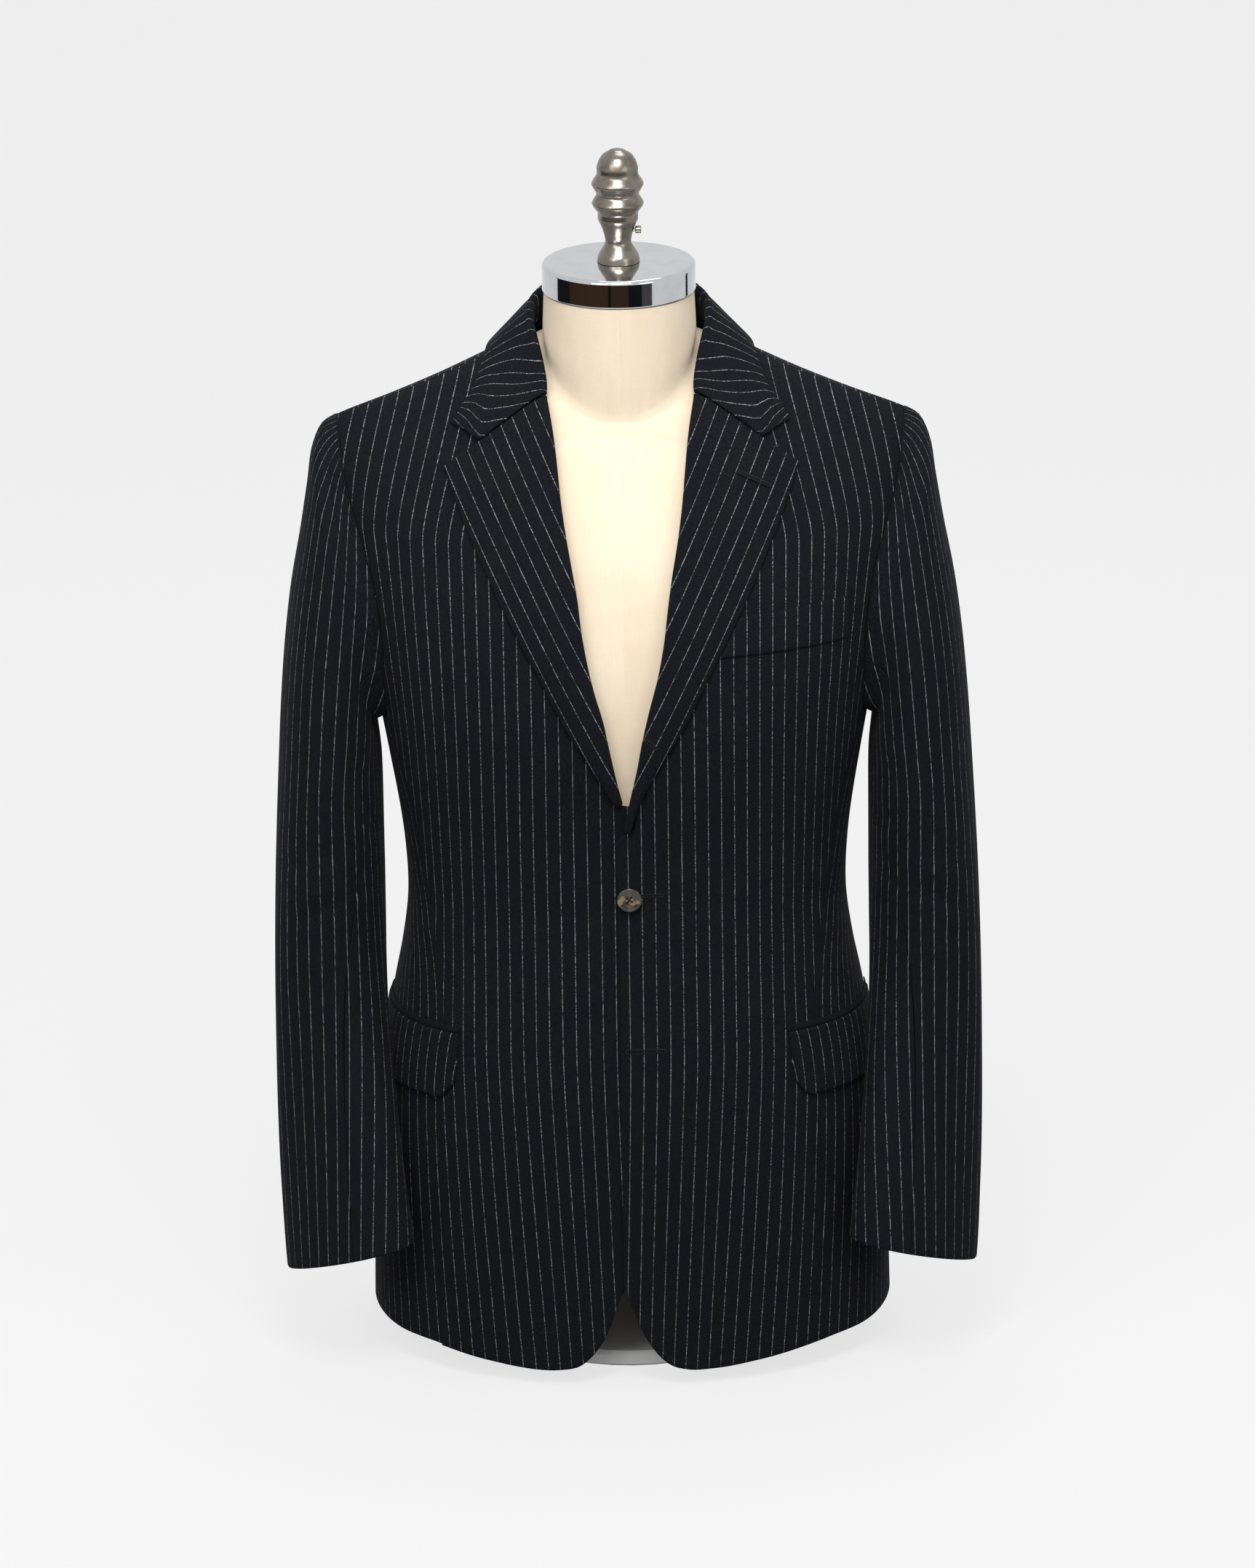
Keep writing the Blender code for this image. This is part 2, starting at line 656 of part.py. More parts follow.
def lapel(name, hand):
    """A lapel: the facing turned over at the roll line and lying on the front."""
    foot = LAPEL_FOOT[hand]
    grid = []
    for v in np.linspace(0, 1, LAPEL_ROWS):
        fold_height = foot + (GORGE_TOP - foot) * v
        edge_height = foot + (LAPEL_CORNER[1] - foot) * v
        fold_point, rise, out = roll_frame(fold_height, hand)
        row = turned_edge(fold_point, rise, out)
        start_x = ROLL_LINE(fold_height) + FOLD
        end_x = max(LAPEL_EDGE(edge_height), start_x + FOLD_OFF)
        for s in np.linspace(0, 1, LAPEL_COLUMNS + 1)[1:]:
            x = start_x + (end_x - start_x) * s
            height = fold_height + (edge_height - fold_height) * s
            bulge = LAPEL_BULGE * math.sin(math.pi * s) * math.sin(math.pi * min(1.0, v * 1.3 + 0.1))
            lift = LAPEL_SPRING + (TURNED_CLOTH + LAID - LAPEL_SPRING) * ease(0, 0.7, s) + bulge
            row.append(moved_out(hand_spot(x, height, hand), lift)[0])
        grid.append(row)
    points = np.array(grid)
    normals = sheet_normals(points)
    if normals[LAPEL_ROWS // 2, -2, 1] > 0:
        normals = -normals
    return cloth_wall(name, points, normals, ("last_row",), TURNED_CLOTH)


def neck_frame(along):
    """Neck seam, way up and way out, from the gorge, 0, round to the back centre, 1."""
    if along <= SHOULDER_SHARE:
        _, first_rise, first_out = roll_frame(GORGE_TOP, 1)
        t = along / SHOULDER_SHARE
        top_x = back_neck(90.0)
        top = SHOULDER(top_x)[0]
        height = GORGE_TOP + (top - GORGE_TOP) * t
        x = ROLL_LINE(GORGE_TOP) + FOLD_ROOM
        x = x + (top_x - x) * ease(0, 1.3, t)
        seam, _ = front_spot(x, min(height, SHOULDER(x)[0]))
        side_out = unit((1.0, -0.10, 0.10))
        side_rise = unit((-COLLAR_LEAN, -0.05, 1.0))
        turn = ease(0.0, 1.0, t)
        out = unit(first_out + (side_out - first_out) * turn)
        rise = unit(first_rise + (side_rise - first_rise) * turn)
        return seam, unit(rise - out * (rise @ out)), out
    t = (along - SHOULDER_SHARE) / (1 - SHOULDER_SHARE)
    lift = 90.0 - (90.0 - BACK_NECK_LIFT) * (1 - (1 - t) ** 1.6)
    x = back_neck(lift) if t < 1 else 0.0
    seam = yoke(x, math.radians(lift), BACK)
    out = unit((math.cos(t * math.pi / 2), math.sin(t * math.pi / 2) - 0.10 * (1 - t), 0.10))
    rise = unit(np.array((0.0, 0.0, 1.0)) - out * COLLAR_LEAN)
    return seam, unit(rise - out * (rise @ out)), out


def over_shoulder(point, distance):
    """A point, lifted where it lies nearer to the shoulders than a distance."""
    spot, normal = top_spot(point[0], point[1])
    floor = spot[2] + distance / max(normal[2], 0.45)
    gap = point[2] - floor
    return np.array((point[0], point[1], floor + (gap + math.hypot(gap, COLLAR_SOFTNESS)) / 2))


def collar():
    """Stand and leaf in one, folded round the neck from gorge to gorge."""
    notch = moved_out(front_spot(*GORGE_NOTCH), COLLAR_LIFT)[0]
    grid = []
    for i, along in enumerate(np.linspace(0, 1, COLLAR_ROWS)):
        seam, rise, out = neck_frame(along)
        fold_point = seam + rise * COLLAR_RISE(along)
        turned = turned_edge(fold_point, rise, out)
        foot = seam + rise * COLLAR_FOOT - out * (TURNED_CLOTH + SEAM)
        row = [foot] + turned
        if along <= SHOULDER_SHARE:
            x, height = COLLAR_LEAF(along / SHOULDER_SHARE)
            edge = moved_out(front_spot(x, min(height, SHOULDER(x)[0])), COLLAR_LIFT)[0]
        else:
            x, y = COLLAR_BACK((along - SHOULDER_SHARE) / (1 - SHOULDER_SHARE))
            edge = moved_out(top_spot(x, y), COLLAR_LIFT)[0]
        bend = max(0.0, 1 - i / 2)
        for s in np.linspace(0, 1, COLLAR_COLUMNS + 1)[1:]:
            straight = turned[-1] + (edge - turned[-1]) * s
            if s <= NOTCH_SHARE:
                kinked = turned[-1] + (notch - turned[-1]) * s / NOTCH_SHARE
            else:
                kinked = notch + (edge - notch) * (s - NOTCH_SHARE) / (1 - NOTCH_SHARE)
            point = straight + (kinked - straight) * bend
            row.append(over_shoulder(point, COLLAR_LIFT) if s < 1 else point)
        grid.append(row)
    side = np.array(grid)
    both = np.concatenate((side[:-1], mirrored(side)[::-1]))
    normals = sheet_normals(both)
    if normals[COLLAR_ROWS - 1, -2, 1] < 0:
        normals = -normals
    return cloth_wall("collar", both, normals, ("first_row", "last_row"), TURNED_CLOTH)


# Sleeves

def armhole_edge():
    """The panels' own points round the armhole: down the front, under the arm and up the back."""
    edge = []
    for row in range(YOKE_ROWS, -1, -1):
        lift = yoke_lift(row, FRONT)
        edge.append(yoke(armhole_x(lift, FRONT), lift, FRONT))
    first = angle_at(SIDE_SEAMS(CHEST_LEVEL)[0], CHEST_LEVEL)
    last = angle_at(SIDE_SEAMS(CHEST_LEVEL)[1], CHEST_LEVEL, BACK)
    for s in np.linspace(0, 1, SIDE_COLUMNS)[1:-1]:
        edge.append(torso(first + (last - first) * s, CHEST_LEVEL))
    for row in range(YOKE_ROWS):
        lift = yoke_lift(row, BACK)
        edge.append(yoke(armhole_x(lift, BACK), lift, BACK))
    return np.array(edge)


def lengths_round(loop):
    """Length along a closed loop at each of its points, and once more at its start."""
    closed = np.vstack((loop, loop[:1]))
    return np.concatenate(([0.0], np.cumsum(np.linalg.norm(np.diff(closed, axis=0), axis=1))))


def points_round(loop, shares):
    """Points at given shares of the length of a closed loop."""
    lengths = lengths_round(loop)
    closed = np.vstack((loop, loop[:1]))
    at = np.asarray(shares) * lengths[-1]
    return np.stack([np.interp(at, lengths, closed[:, k]) for k in range(3)], axis=1)


def sleeve_ring(middle, span, half_depth, turn):
    """One ring of the arm: a superellipse, turned about the arm as it nears the cuff."""
    turns = np.linspace(0, 2 * math.pi, 241)[:-1]
    power = 2 / SLEEVE_SQUARENESS
    across = np.sign(np.cos(turns)) * np.abs(np.cos(turns)) ** power
    ahead = -np.sign(np.sin(turns)) * np.abs(np.sin(turns)) ** power
    if turn <= 0:
        ring = middle + np.outer(across, (span[0], 0.0, span[1]))
        ring[:, 1] += ahead * half_depth
        return ring
    angle = math.radians(turn)
    long_half = span[0] / math.hypot(math.cos(angle), FLAT_RATIO * math.sin(angle))
    short_half = half_depth + (long_half * FLAT_RATIO - half_depth) * ease(0, FULL_TURN, turn)
    long_half = span[0] / math.hypot(math.cos(angle), short_half / long_half * math.sin(angle))
    x = long_half * across * math.cos(angle) - short_half * ahead * math.sin(angle)
    y = long_half * across * math.sin(angle) + short_half * ahead * math.cos(angle)
    tilt = span[1] / span[0] * (x + y * math.tan(angle) * 0.9)
    return middle + np.stack((x, y, tilt), axis=1)


def sleeve_tube():
    """Rings of the whole sleeve, from the armhole's own edge to the cuff."""
    hole = armhole_edge()
    hole_shares = lengths_round(hole)[:-1] / lengths_round(hole)[-1]
    even_shares = np.arange(SLEEVE_POINTS) / SLEEVE_POINTS
    outer_x, outer_z, inner_x, inner_z, hole_y, hole_depth = SLEEVE(0)[:6]
    span = np.array((outer_x - inner_x, outer_z - inner_z)) / 2
    reach = np.linalg.norm(span)
    across = span / reach
    flat = hole[:, (0, 2)] - np.array((outer_x + inner_x, outer_z + inner_z)) / 2
    own_across = flat @ across / reach
    own_ahead = (hole[:, 1] - hole_y) / hole_depth
    own_beyond = flat @ np.array((across[1], -across[0]))
    rings = [hole + np.array((SLEEVE_ROOM, 0.0, 0.0))]
    for i in range(1, SLEEVE_ROWS):
        place = SLEEVE.keys[-1] * (i / (SLEEVE_ROWS - 1)) ** 0.93
        outer_x, outer_z, inner_x, inner_z, middle_y, half_depth, turn, free = SLEEVE(place)
        span = np.array((outer_x - inner_x, outer_z - inner_z)) / 2
        middle = np.array(((outer_x + inner_x) / 2, middle_y, (outer_z + inner_z) / 2))
        ring = sleeve_ring(middle, span, half_depth, turn)
        ring = points_round(ring, hole_shares + (even_shares - hole_shares) * min(free, 1.0))
        if free < 1:
            beyond = np.array((span[1], 0.0, -span[0])) / np.linalg.norm(span)
            bound = middle + np.outer(own_across, (span[0], 0.0, span[1]))
            bound = bound + np.outer(own_beyond * (1 - free), beyond)
            bound[:, 1] += own_ahead * half_depth
            ring = bound + (ring - bound) * free
        rings.append(ring)
    return np.array(rings)


def tube_normals(rings):
    """Outward normals of closed rings; the first ring's lie in the armhole's own plane."""
    around = np.roll(rings, -1, axis=1) - np.roll(rings, 1, axis=1)
    down = np.gradient(rings, axis=0)
    normals = unit(np.cross(around, down))
    centre = rings.mean(axis=1, keepdims=True)
    if ((rings - centre) * normals).sum() < 0:
        normals = -normals
    plane = unit((1.0, 0.0, -0.13))
    for i, hold in ((0, 1.0), (1, 0.5)):
        normals[i] = unit(normals[i] - np.outer(normals[i] @ plane, plane) * hold)
    return normals


def sleeve(hand, hand_name):
    """The upper and under sleeve, cut from one tube at the front and back seams."""
    rings = sleeve_tube()
    normals = tube_normals(rings)
    if hand < 0:
        rings, normals = mirrored(rings), mirrored(normals)
    upper = [i % SLEEVE_POINTS for i in range(BACK_SEAM, SLEEVE_POINTS + FRONT_SEAM + 1)]
    under = list(range(FRONT_SEAM, BACK_SEAM + 1))
    for part_name, columns in (("sleeve_upper_", upper), ("sleeve_under_", under)):
        points = set_back(rings[:, columns], ("first_column", "last_column"), SEAM)
        cloth_wall(part_name + hand_name, points, normals[:, columns])
    return rings, normals


# Pockets and buttons

def laid_patch(name, spots, thickness):
    """Cloth that lies on a panel: the panel's own spots, moved out."""
    points, normals = grid_of(spots)
    outer = points + normals * (LAID / 2 + thickness)
    inner = points + normals * LAID / 2
    return finish(name, sheet_mesh(outer, inner), "flannel")


def flap_rows(hand, jet):
    """Spots of a hip flap with rounded lower corners, or of the narrow jet over it."""
    columns, rows = 13, 5
    first, last = (math.radians(angle) for angle in FLAP_ANGLES[hand])
    spots = []
    for t in np.linspace(0, 1, 2 if jet else rows):
        row = []
        for s in np.linspace(0, 1, columns):
            top = FLAP_TOP_FRONT + (FLAP_TOP_REAR - FLAP_TOP_FRONT) * s
            inside = max(0.0, FLAP_CORNER - FLAP_WIDTH * min(s, 1 - s))
            cut = FLAP_CORNER - math.sqrt(FLAP_CORNER ** 2 - inside ** 2)
            height = top + SEAM + JET_HEIGHT * (1 - t) if jet else top - (FLAP_DROP - cut) * t
            point, normal = torso_spot(first + (last - first) * s, height)
            row.append((point, normal) if hand > 0 else (mirrored(point), mirrored(normal)))
        spots.append(row)
    return spots


def chest_welt():
    """The welt of the breast pocket; its inner end follows the lapel's edge."""
    columns, rows = 9, 4
    spots = []
    for t in np.linspace(0, 1, rows):
        inner = LAPEL_EDGE(WELT_TOP[0] + (WELT_LOW[0] - WELT_TOP[0]) * t) + SEAM * 3
        row = []
        for s in np.linspace(0, 1, columns):
            top = WELT_TOP[0] + (WELT_TOP[1] - WELT_TOP[0]) * s
            low = WELT_LOW[0] + (WELT_LOW[1] - WELT_LOW[0]) * s
            row.append(front_spot(inner + (WELT_OUTER - inner) * s, top + (low - top) * t))
        spots.append(row)
    return laid_patch("chest_welt", spots, WELT_CLOTH)


def button(name, place, normal, radius):
    """A dished button with a raised rim, seated on the cloth at a place."""
    maker = bmesh.new()
    side = BUTTON_HEIGHT
    profile = [(0.0, side * 0.62), (radius * 0.55, side * 0.60), (radius * 0.72, side * 0.85),
               (radius * 0.86, side), (radius * 0.97, side * 0.80), (radius, side * 0.55),
               (radius * 0.90, side * 0.15), (radius * 0.70, 0.0), (0.0, 0.0)]
    verts = [maker.verts.new((r, 0.0, z)) for r, z in profile]
    edges = [maker.edges.new((a, b)) for a, b in zip(verts, verts[1:])]
    bmesh.ops.spin(maker, geom=verts + edges, cent=(0, 0, 0), axis=(0, 0, 1), angle=2 * math.pi,
                   steps=14, use_merge=True)
    bmesh.ops.remove_doubles(maker, verts=maker.verts[:], dist=1e-6)
    bmesh.ops.recalc_face_normals(maker, faces=maker.faces[:])
    across = unit(np.cross((0.0, 0.0, 1.0), normal))
    up = np.cross(normal, across)
    for vert in maker.verts:
        x, y, z = vert.co
        vert.co = place + across * x + up * y + np.asarray(normal) * (z + SEAM)
    mesh = bpy.data.meshes.new(name)
    maker.to_mesh(mesh)
    maker.free()
    return finish(name, mesh, "horn")


def sleeve_buttons(rings, normals, hand_name):
    """Two buttons by the back seam, over the cuff."""
    for number, row in ((1, SLEEVE_ROWS - 2), (2, SLEEVE_ROWS - 3)):
        column = BACK_SEAM + SLEEVE_BUTTON_COLUMN
        lower, higher = rings[row, column], rings[row - 1, column]
        place = lower + (higher - lower) * SLEEVE_BUTTON_STEP * (number - 1)
        button(f"sleeve_button_{number}_{hand_name}", place + normals[row, column] * SEAM * 2,
               normals[row, column], SLEEVE_BUTTON_RADIUS)


# The dress form

def form_rings():
    """Rings of the linen form, from its foot up the body, over the shoulders and up the neck."""
    angles = [2 * math.pi * j / FORM_COLUMNS for j in range(FORM_COLUMNS)]
    rings = []
    for height in np.linspace(FORM_FOOT, CHEST_LEVEL, FORM_ROWS + 1):
        ring = []
        for angle in angles:
            spot, normal = torso_spot(math.remainder(angle, 2 * math.pi), height)
            room = FORM_EASE + FORM_SKIRT_EASE * (1 - ease(0.10, 0.36, height))
            ring.append(spot - normal * (CLOTH + room))
        rings.append(ring)
    for lift in FORM_LIFTS:
        rise = math.sin(math.radians(lift))
        ring = []
        for angle in angles:
            side = FRONT if math.cos(angle) > 0 else BACK
            own = math.radians(lift) if side == FRONT else math.asin(rise ** 2)
            half = FORM_SHOULDER[0] + FORM_SHOULDER[1] * rise
            x = half * math.copysign(abs(math.sin(angle)) ** (2 / SQUARENESS), math.sin(angle))
            spot, normal = yoke_spot(x, own, side)
            y = spot[1] - normal[1] * (CLOTH + FORM_EASE)
            y = FORM_SIDE_Y + (y - FORM_SIDE_Y) * abs(math.cos(angle)) ** 0.5
            ring.append(np.array((x, y, spot[2] - FORM_SHOULDER_DROP)))
        rings.append(ring)
    shoulder = rings[-1]
    for draw in FORM_DRAWS:
        ring = []
        for start, angle in zip(shoulder, angles):
            neck_x = (NECK_RADIUS + FORM_NECK_EASE) * math.sin(angle)
            neck_y = FORM_NECK_Y - (NECK_RADIUS + FORM_NECK_EASE) * math.cos(angle)
            x = start[0] + (neck_x - start[0]) * draw
            y = start[1] + (neck_y - start[1]) * draw
            spot, normal = top_spot(x, y)
            seat = FORM_EASE + (FORM_SEAT - FORM_EASE) * ease(0.80, 0.92, normal[2])
            ring.append(np.array((x, y, spot[2] - (CLOTH + seat) / max(normal[2], 0.35))))
        rings.append(ring)
    collar_ring = rings[-1]
    for t in (0.35, 0.7, 1.0):
        ring = []
        for start, angle in zip(collar_ring, angles):
            target = np.array((NECK_RADIUS * math.sin(angle), -NECK_RADIUS * math.cos(angle), NECK_TOP))
            ring.append(start + (target - start) * t)
        rings.append(ring)
    return rings


def lofted(name, rings, look):
    """A closed solid through rings of equal count."""
    maker = bmesh.new()
    loops = []
    for ring in rings:
        verts = [maker.verts.new(point) for point in ring]
        edges = [maker.edges.new((verts[k], verts[(k + 1) % len(verts)])) for k in range(len(verts))]
        loops.append(edges)
    for low, high in zip(loops, loops[1:]):
        bmesh.ops.bridge_loops(maker, edges=low + high)
    for edges in (loops[0], loops[-1]):
        bmesh.ops.edgenet_fill(maker, edges=edges)
    bmesh.ops.recalc_face_normals(maker, faces=maker.faces[:])
    mesh = bpy.data.meshes.new(name)
    maker.to_mesh(mesh)
    maker.free()
    return finish(name, mesh, look)


def turned(name, profile, look, steps, centre=(0.0, 0.0)):
    """A turned solid from (radius, height) pairs, closed on its axis."""
    maker = bmesh.new()
    verts = [maker.verts.new((centre[0] + r, centre[1], z)) for r, z in profile]
    edges = [maker.edges.new((a, b)) for a, b in zip(verts, verts[1:])]
    bmesh.ops.spin(maker, geom=verts + edges, cent=(*centre, 0.0), axis=(0, 0, 1), angle=2 * math.pi,
                   steps=steps, use_merge=True)
    bmesh.ops.remove_doubles(maker, verts=maker.verts[:], dist=1e-6)
    bmesh.ops.recalc_face_normals(maker, faces=maker.faces[:])
    mesh = bpy.data.meshes.new(name)
    maker.to_mesh(mesh)
    maker.free()
    return finish(name, mesh, look)


def dress_form():
    """Linen body, neck cap, finial with its set screw, and the stand hidden in the skirt."""
    lofted("form_body", form_rings(), "linen")
    low = CAP_TOP - CAP_BAND
    turned("neck_cap", [(0, low), (CAP_RADIUS - 0.0012, low), (CAP_RADIUS, low + 0.0012),
                        (CAP_RADIUS, CAP_TOP - 0.0030), (CAP_RADIUS - 0.0012, CAP_TOP - 0.0008),
                        (CAP_RADIUS - 0.0040, CAP_TOP), (0, CAP_TOP)], "chrome", 36)
    foot = CAP_TOP + SEAM
    profile = [(0, foot)]
    for height in FINIAL.keys:
        profile.append((FINIAL(height), foot + height))
    profile.append((0, foot + FINIAL_TOP))
    turned("finial", profile, "nickel", 18)
    seat = FINIAL(SET_SCREW_HEIGHT + SET_SCREW_RADIUS) + SEAM
    bpy.ops.mesh.primitive_cylinder_add(
        vertices=6, radius=SET_SCREW_RADIUS, depth=SET_SCREW_LENGTH, rotation=(0, math.pi / 2, 0),
        location=(seat + SET_SCREW_LENGTH / 2, 0, foot + SET_SCREW_HEIGHT))
    screw = bpy.context.object
    mesh = screw.data
    mesh.transform(screw.matrix_basis)
    bpy.data.objects.remove(screw, do_unlink=True)
    finish("set_screw", mesh, "nickel")
    turned("pole", [(0, BASE_THICKNESS + SEAM), (POLE_RADIUS, BASE_THICKNESS + SEAM),
                    (POLE_RADIUS, FORM_FOOT - SEAM), (0, FORM_FOOT - SEAM)], "nickel", 20, (0, POLE_Y))
    turned("base_plate", [(0, 0), (BASE_RADIUS - 0.002, 0), (BASE_RADIUS, 0.002),
                          (BASE_RADIUS, BASE_THICKNESS - 0.003), (BASE_RADIUS - 0.003, BASE_THICKNESS),
                          (0, BASE_THICKNESS)], "base paint", 40)


def build():
    """Make every piece."""
    for hand, hand_name in ((1, "left"), (-1, "right")):
        front_panel("front_" + hand_name, hand)
        side_panel("side_" + hand_name, hand)
        back_panel("back_" + hand_name, hand)
        lapel("lapel_" + hand_name, hand)
        laid_patch("flap_" + hand_name, flap_rows(hand, False), FLAP_CLOTH)
        laid_patch("jet_" + hand_name, flap_rows(hand, True), JET_CLOTH)
        rings, normals = sleeve(hand, hand_name)
        sleeve_buttons(rings, normals, hand_name)
    collar()
    chest_welt()
    point, normal = front_spot(*BUTTON_PLACE)
    button("button_middle", point + normal * SEAM * 2, normal, BUTTON_RADIUS)
    dress_form()


build()
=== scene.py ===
"""Chalk stripe suit jacket on a limbless dress form, dressed for the photograph's view.

The cloth is laid on the same figure as the solids: thin shells with stripes, creases and stitching.
Metres, +Z up, front towards -Y, +X the wearer's left.
"""

import json
import math

import bmesh
import bpy
import numpy as np
from mathutils import Matrix, Vector

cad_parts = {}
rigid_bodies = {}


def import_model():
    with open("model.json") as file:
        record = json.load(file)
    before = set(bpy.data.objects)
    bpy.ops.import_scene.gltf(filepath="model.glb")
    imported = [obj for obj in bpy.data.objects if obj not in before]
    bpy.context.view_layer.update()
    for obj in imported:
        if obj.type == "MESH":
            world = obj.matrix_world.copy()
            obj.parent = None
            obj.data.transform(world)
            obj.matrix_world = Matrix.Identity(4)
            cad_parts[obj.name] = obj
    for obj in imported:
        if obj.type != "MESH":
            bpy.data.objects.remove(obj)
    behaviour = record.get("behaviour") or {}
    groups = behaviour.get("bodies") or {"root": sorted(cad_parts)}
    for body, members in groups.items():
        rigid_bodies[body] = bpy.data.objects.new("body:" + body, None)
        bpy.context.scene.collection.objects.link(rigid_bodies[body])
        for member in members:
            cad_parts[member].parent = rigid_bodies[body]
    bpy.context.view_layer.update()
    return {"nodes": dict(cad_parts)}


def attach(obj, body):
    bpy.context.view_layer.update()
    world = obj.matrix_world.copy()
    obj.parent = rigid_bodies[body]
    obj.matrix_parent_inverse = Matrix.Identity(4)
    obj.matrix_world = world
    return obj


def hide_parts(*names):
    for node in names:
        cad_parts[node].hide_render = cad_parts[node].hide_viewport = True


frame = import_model()

# Cloth and seams
CLOTH = 0.0020            # shell cloth with its lining
TURNED_CLOTH = 0.0022     # lapels and collar
SEAM = 0.0003             # gap between two pieces that are sewn together
LAID = 0.0012             # gap under cloth that lies on other cloth
FOLD = 0.0034             # outer radius where a lapel or the collar turns over
FOLD_ROOM = 0.0052        # from the rolled edge to the front's cut edge, measured in x
SLEEVE_ROOM = 0.0006      # armhole edge to the sleeve's first ring
COLLAR_LIFT = 0.0046      # outer face of the collar's leaf over the body
COLLAR_FOOT = 0.0015      # lower edge of the collar's stand over the neck seam
UNDERLAP = 0.0031         # how far the right front lies inside the left one
FOLD_OFF = 0.0012         # a fold's middle over the cloth that it turns on
LAPEL_SPRING = 0.0046     # outer face of a lapel over the body, by its fold
LAPEL_BULGE = 0.0030      # and this much more halfway to its edge
LAPEL_ROWS, LAPEL_COLUMNS = 14, 6
COLLAR_ROWS, COLLAR_COLUMNS = 13, 6       # half the collar's length; fold to edge
SHOULDER_SHARE = 0.45     # share of the half collar from the gorge to the shoulder seam
NOTCH_SHARE = 2 / 3       # share of the collar's end from the fold to the notch
COLLAR_LEAN = 0.16        # how far the stand leans in to the neck
COLLAR_SOFTNESS = 0.002   # how softly the leaf rests on the shoulders

# The figure below and above the foot of the armholes
CHEST_LEVEL = 0.520
SQUARENESS = 2.3          # power of the body's superellipse sections
SHOULDER_REACH = 0.240    # half width that the chest's depth curve opens to at the shoulder
FRONT, BACK = -1, 1
RISE = {FRONT: 1.0, BACK: 0.5}
FALL = {FRONT: 1.65, BACK: 1.03}
RIDGE = {FRONT: 0.5, BACK: 0.0}   # how softly the surface turns over at the shoulder seam
CENTRE_X = -0.0055        # the line where the two fronts part at the hem
EDGE_X = -0.0066          # the left front's edge, past the centre
UNDER_EDGE = -0.012       # the right front's hidden edge, past the centre
BACK_NECK_LIFT = 58.0     # degrees up the back where the neck's edge crosses the centre
NECK_HALF_WIDTH = 0.072   # neck's edge at the shoulder seam
VENT_TOP = 0.240
VENT_LAP = 0.028
GORGE_TOP = 0.770         # where the lapel's fold meets the collar
GORGE_NOTCH = (0.1070, 0.7380)
LAPEL_CORNER = (0.1348, 0.7195)
LAPEL_FOOT = {1: 0.452, -1: 0.4735}       # where each hand's fold starts; 1 is the wearer's left
EDGE_STEP = {1: (0.4478, 0.4508), -1: (0.4692, 0.4720)}   # where the cut edge goes under the fold

# Closure and pockets
BUTTON_RADIUS = 0.0095
BUTTON_HEIGHT = 0.0038
BUTTON_PLACE = (0.0016, 0.3965)
SLEEVE_BUTTON_RADIUS = 0.0072
SLEEVE_BUTTON_COLUMN = 2  # points past the back seam
SLEEVE_BUTTON_STEP = 0.15             # how far the upper one is moved on towards the next ring
FLAP_TOP_FRONT = 0.2795
FLAP_TOP_REAR = 0.2725
FLAP_DROP = 0.0520
FLAP_ANGLES = {1: (39.0, 93.6), -1: (42.4, 97.0)}       # for each hand
FLAP_CORNER = 0.014
FLAP_WIDTH = 0.150
FLAP_CLOTH = 0.0024
JET_HEIGHT = 0.0050
JET_CLOTH = 0.0014
WELT_OUTER = 0.171        # x of the welt's outer end
WELT_TOP = (0.6165, 0.6210)
WELT_LOW = (0.5875, 0.5890)
WELT_CLOTH = 0.0016

# Dress form
NECK_RADIUS = 0.0575
NECK_TOP = 0.8430
CAP_RADIUS = 0.0588
CAP_TOP = 0.8654
CAP_BAND = 0.0215
FORM_FOOT = 0.105
FORM_EASE = 0.0065        # form to cloth on the body
FORM_SKIRT_EASE = 0.010   # and this much more towards its foot
FORM_SEAT = 0.0016        # form to cloth along the shoulders, where the jacket rests
CAP_CORNER = 0.0030       # radius of the cap's upper corner, and of its lower one
CAP_FOOT_CORNER = 0.0010
CAP_HOLE = 0.050


class Table:
    """Rows of named columns, read on a smooth curve along the first column."""

    def __init__(self, columns, rows):
        self.columns = columns.split()
        data = np.array(rows, float)
        self.keys, self.values = data[:, 0], data[:, 1:]
        self.slopes = np.gradient(self.values, self.keys, axis=0)

    def __call__(self, key):
        key = min(max(key, self.keys[0]), self.keys[-1])
        row = min(int(np.searchsorted(self.keys, key, side="right")) - 1, len(self.keys) - 2)
        step = self.keys[row + 1] - self.keys[row]
        t = (key - self.keys[row]) / step
        low, high = self.values[row], self.values[row + 1]
        value = low + (high - low) * t * t * (3 - 2 * t)
        value = value + step * (t * (1 - t) ** 2 * self.slopes[row] - t * t * (1 - t) * self.slopes[row + 1])
        return value if len(value) > 1 else float(value[0])


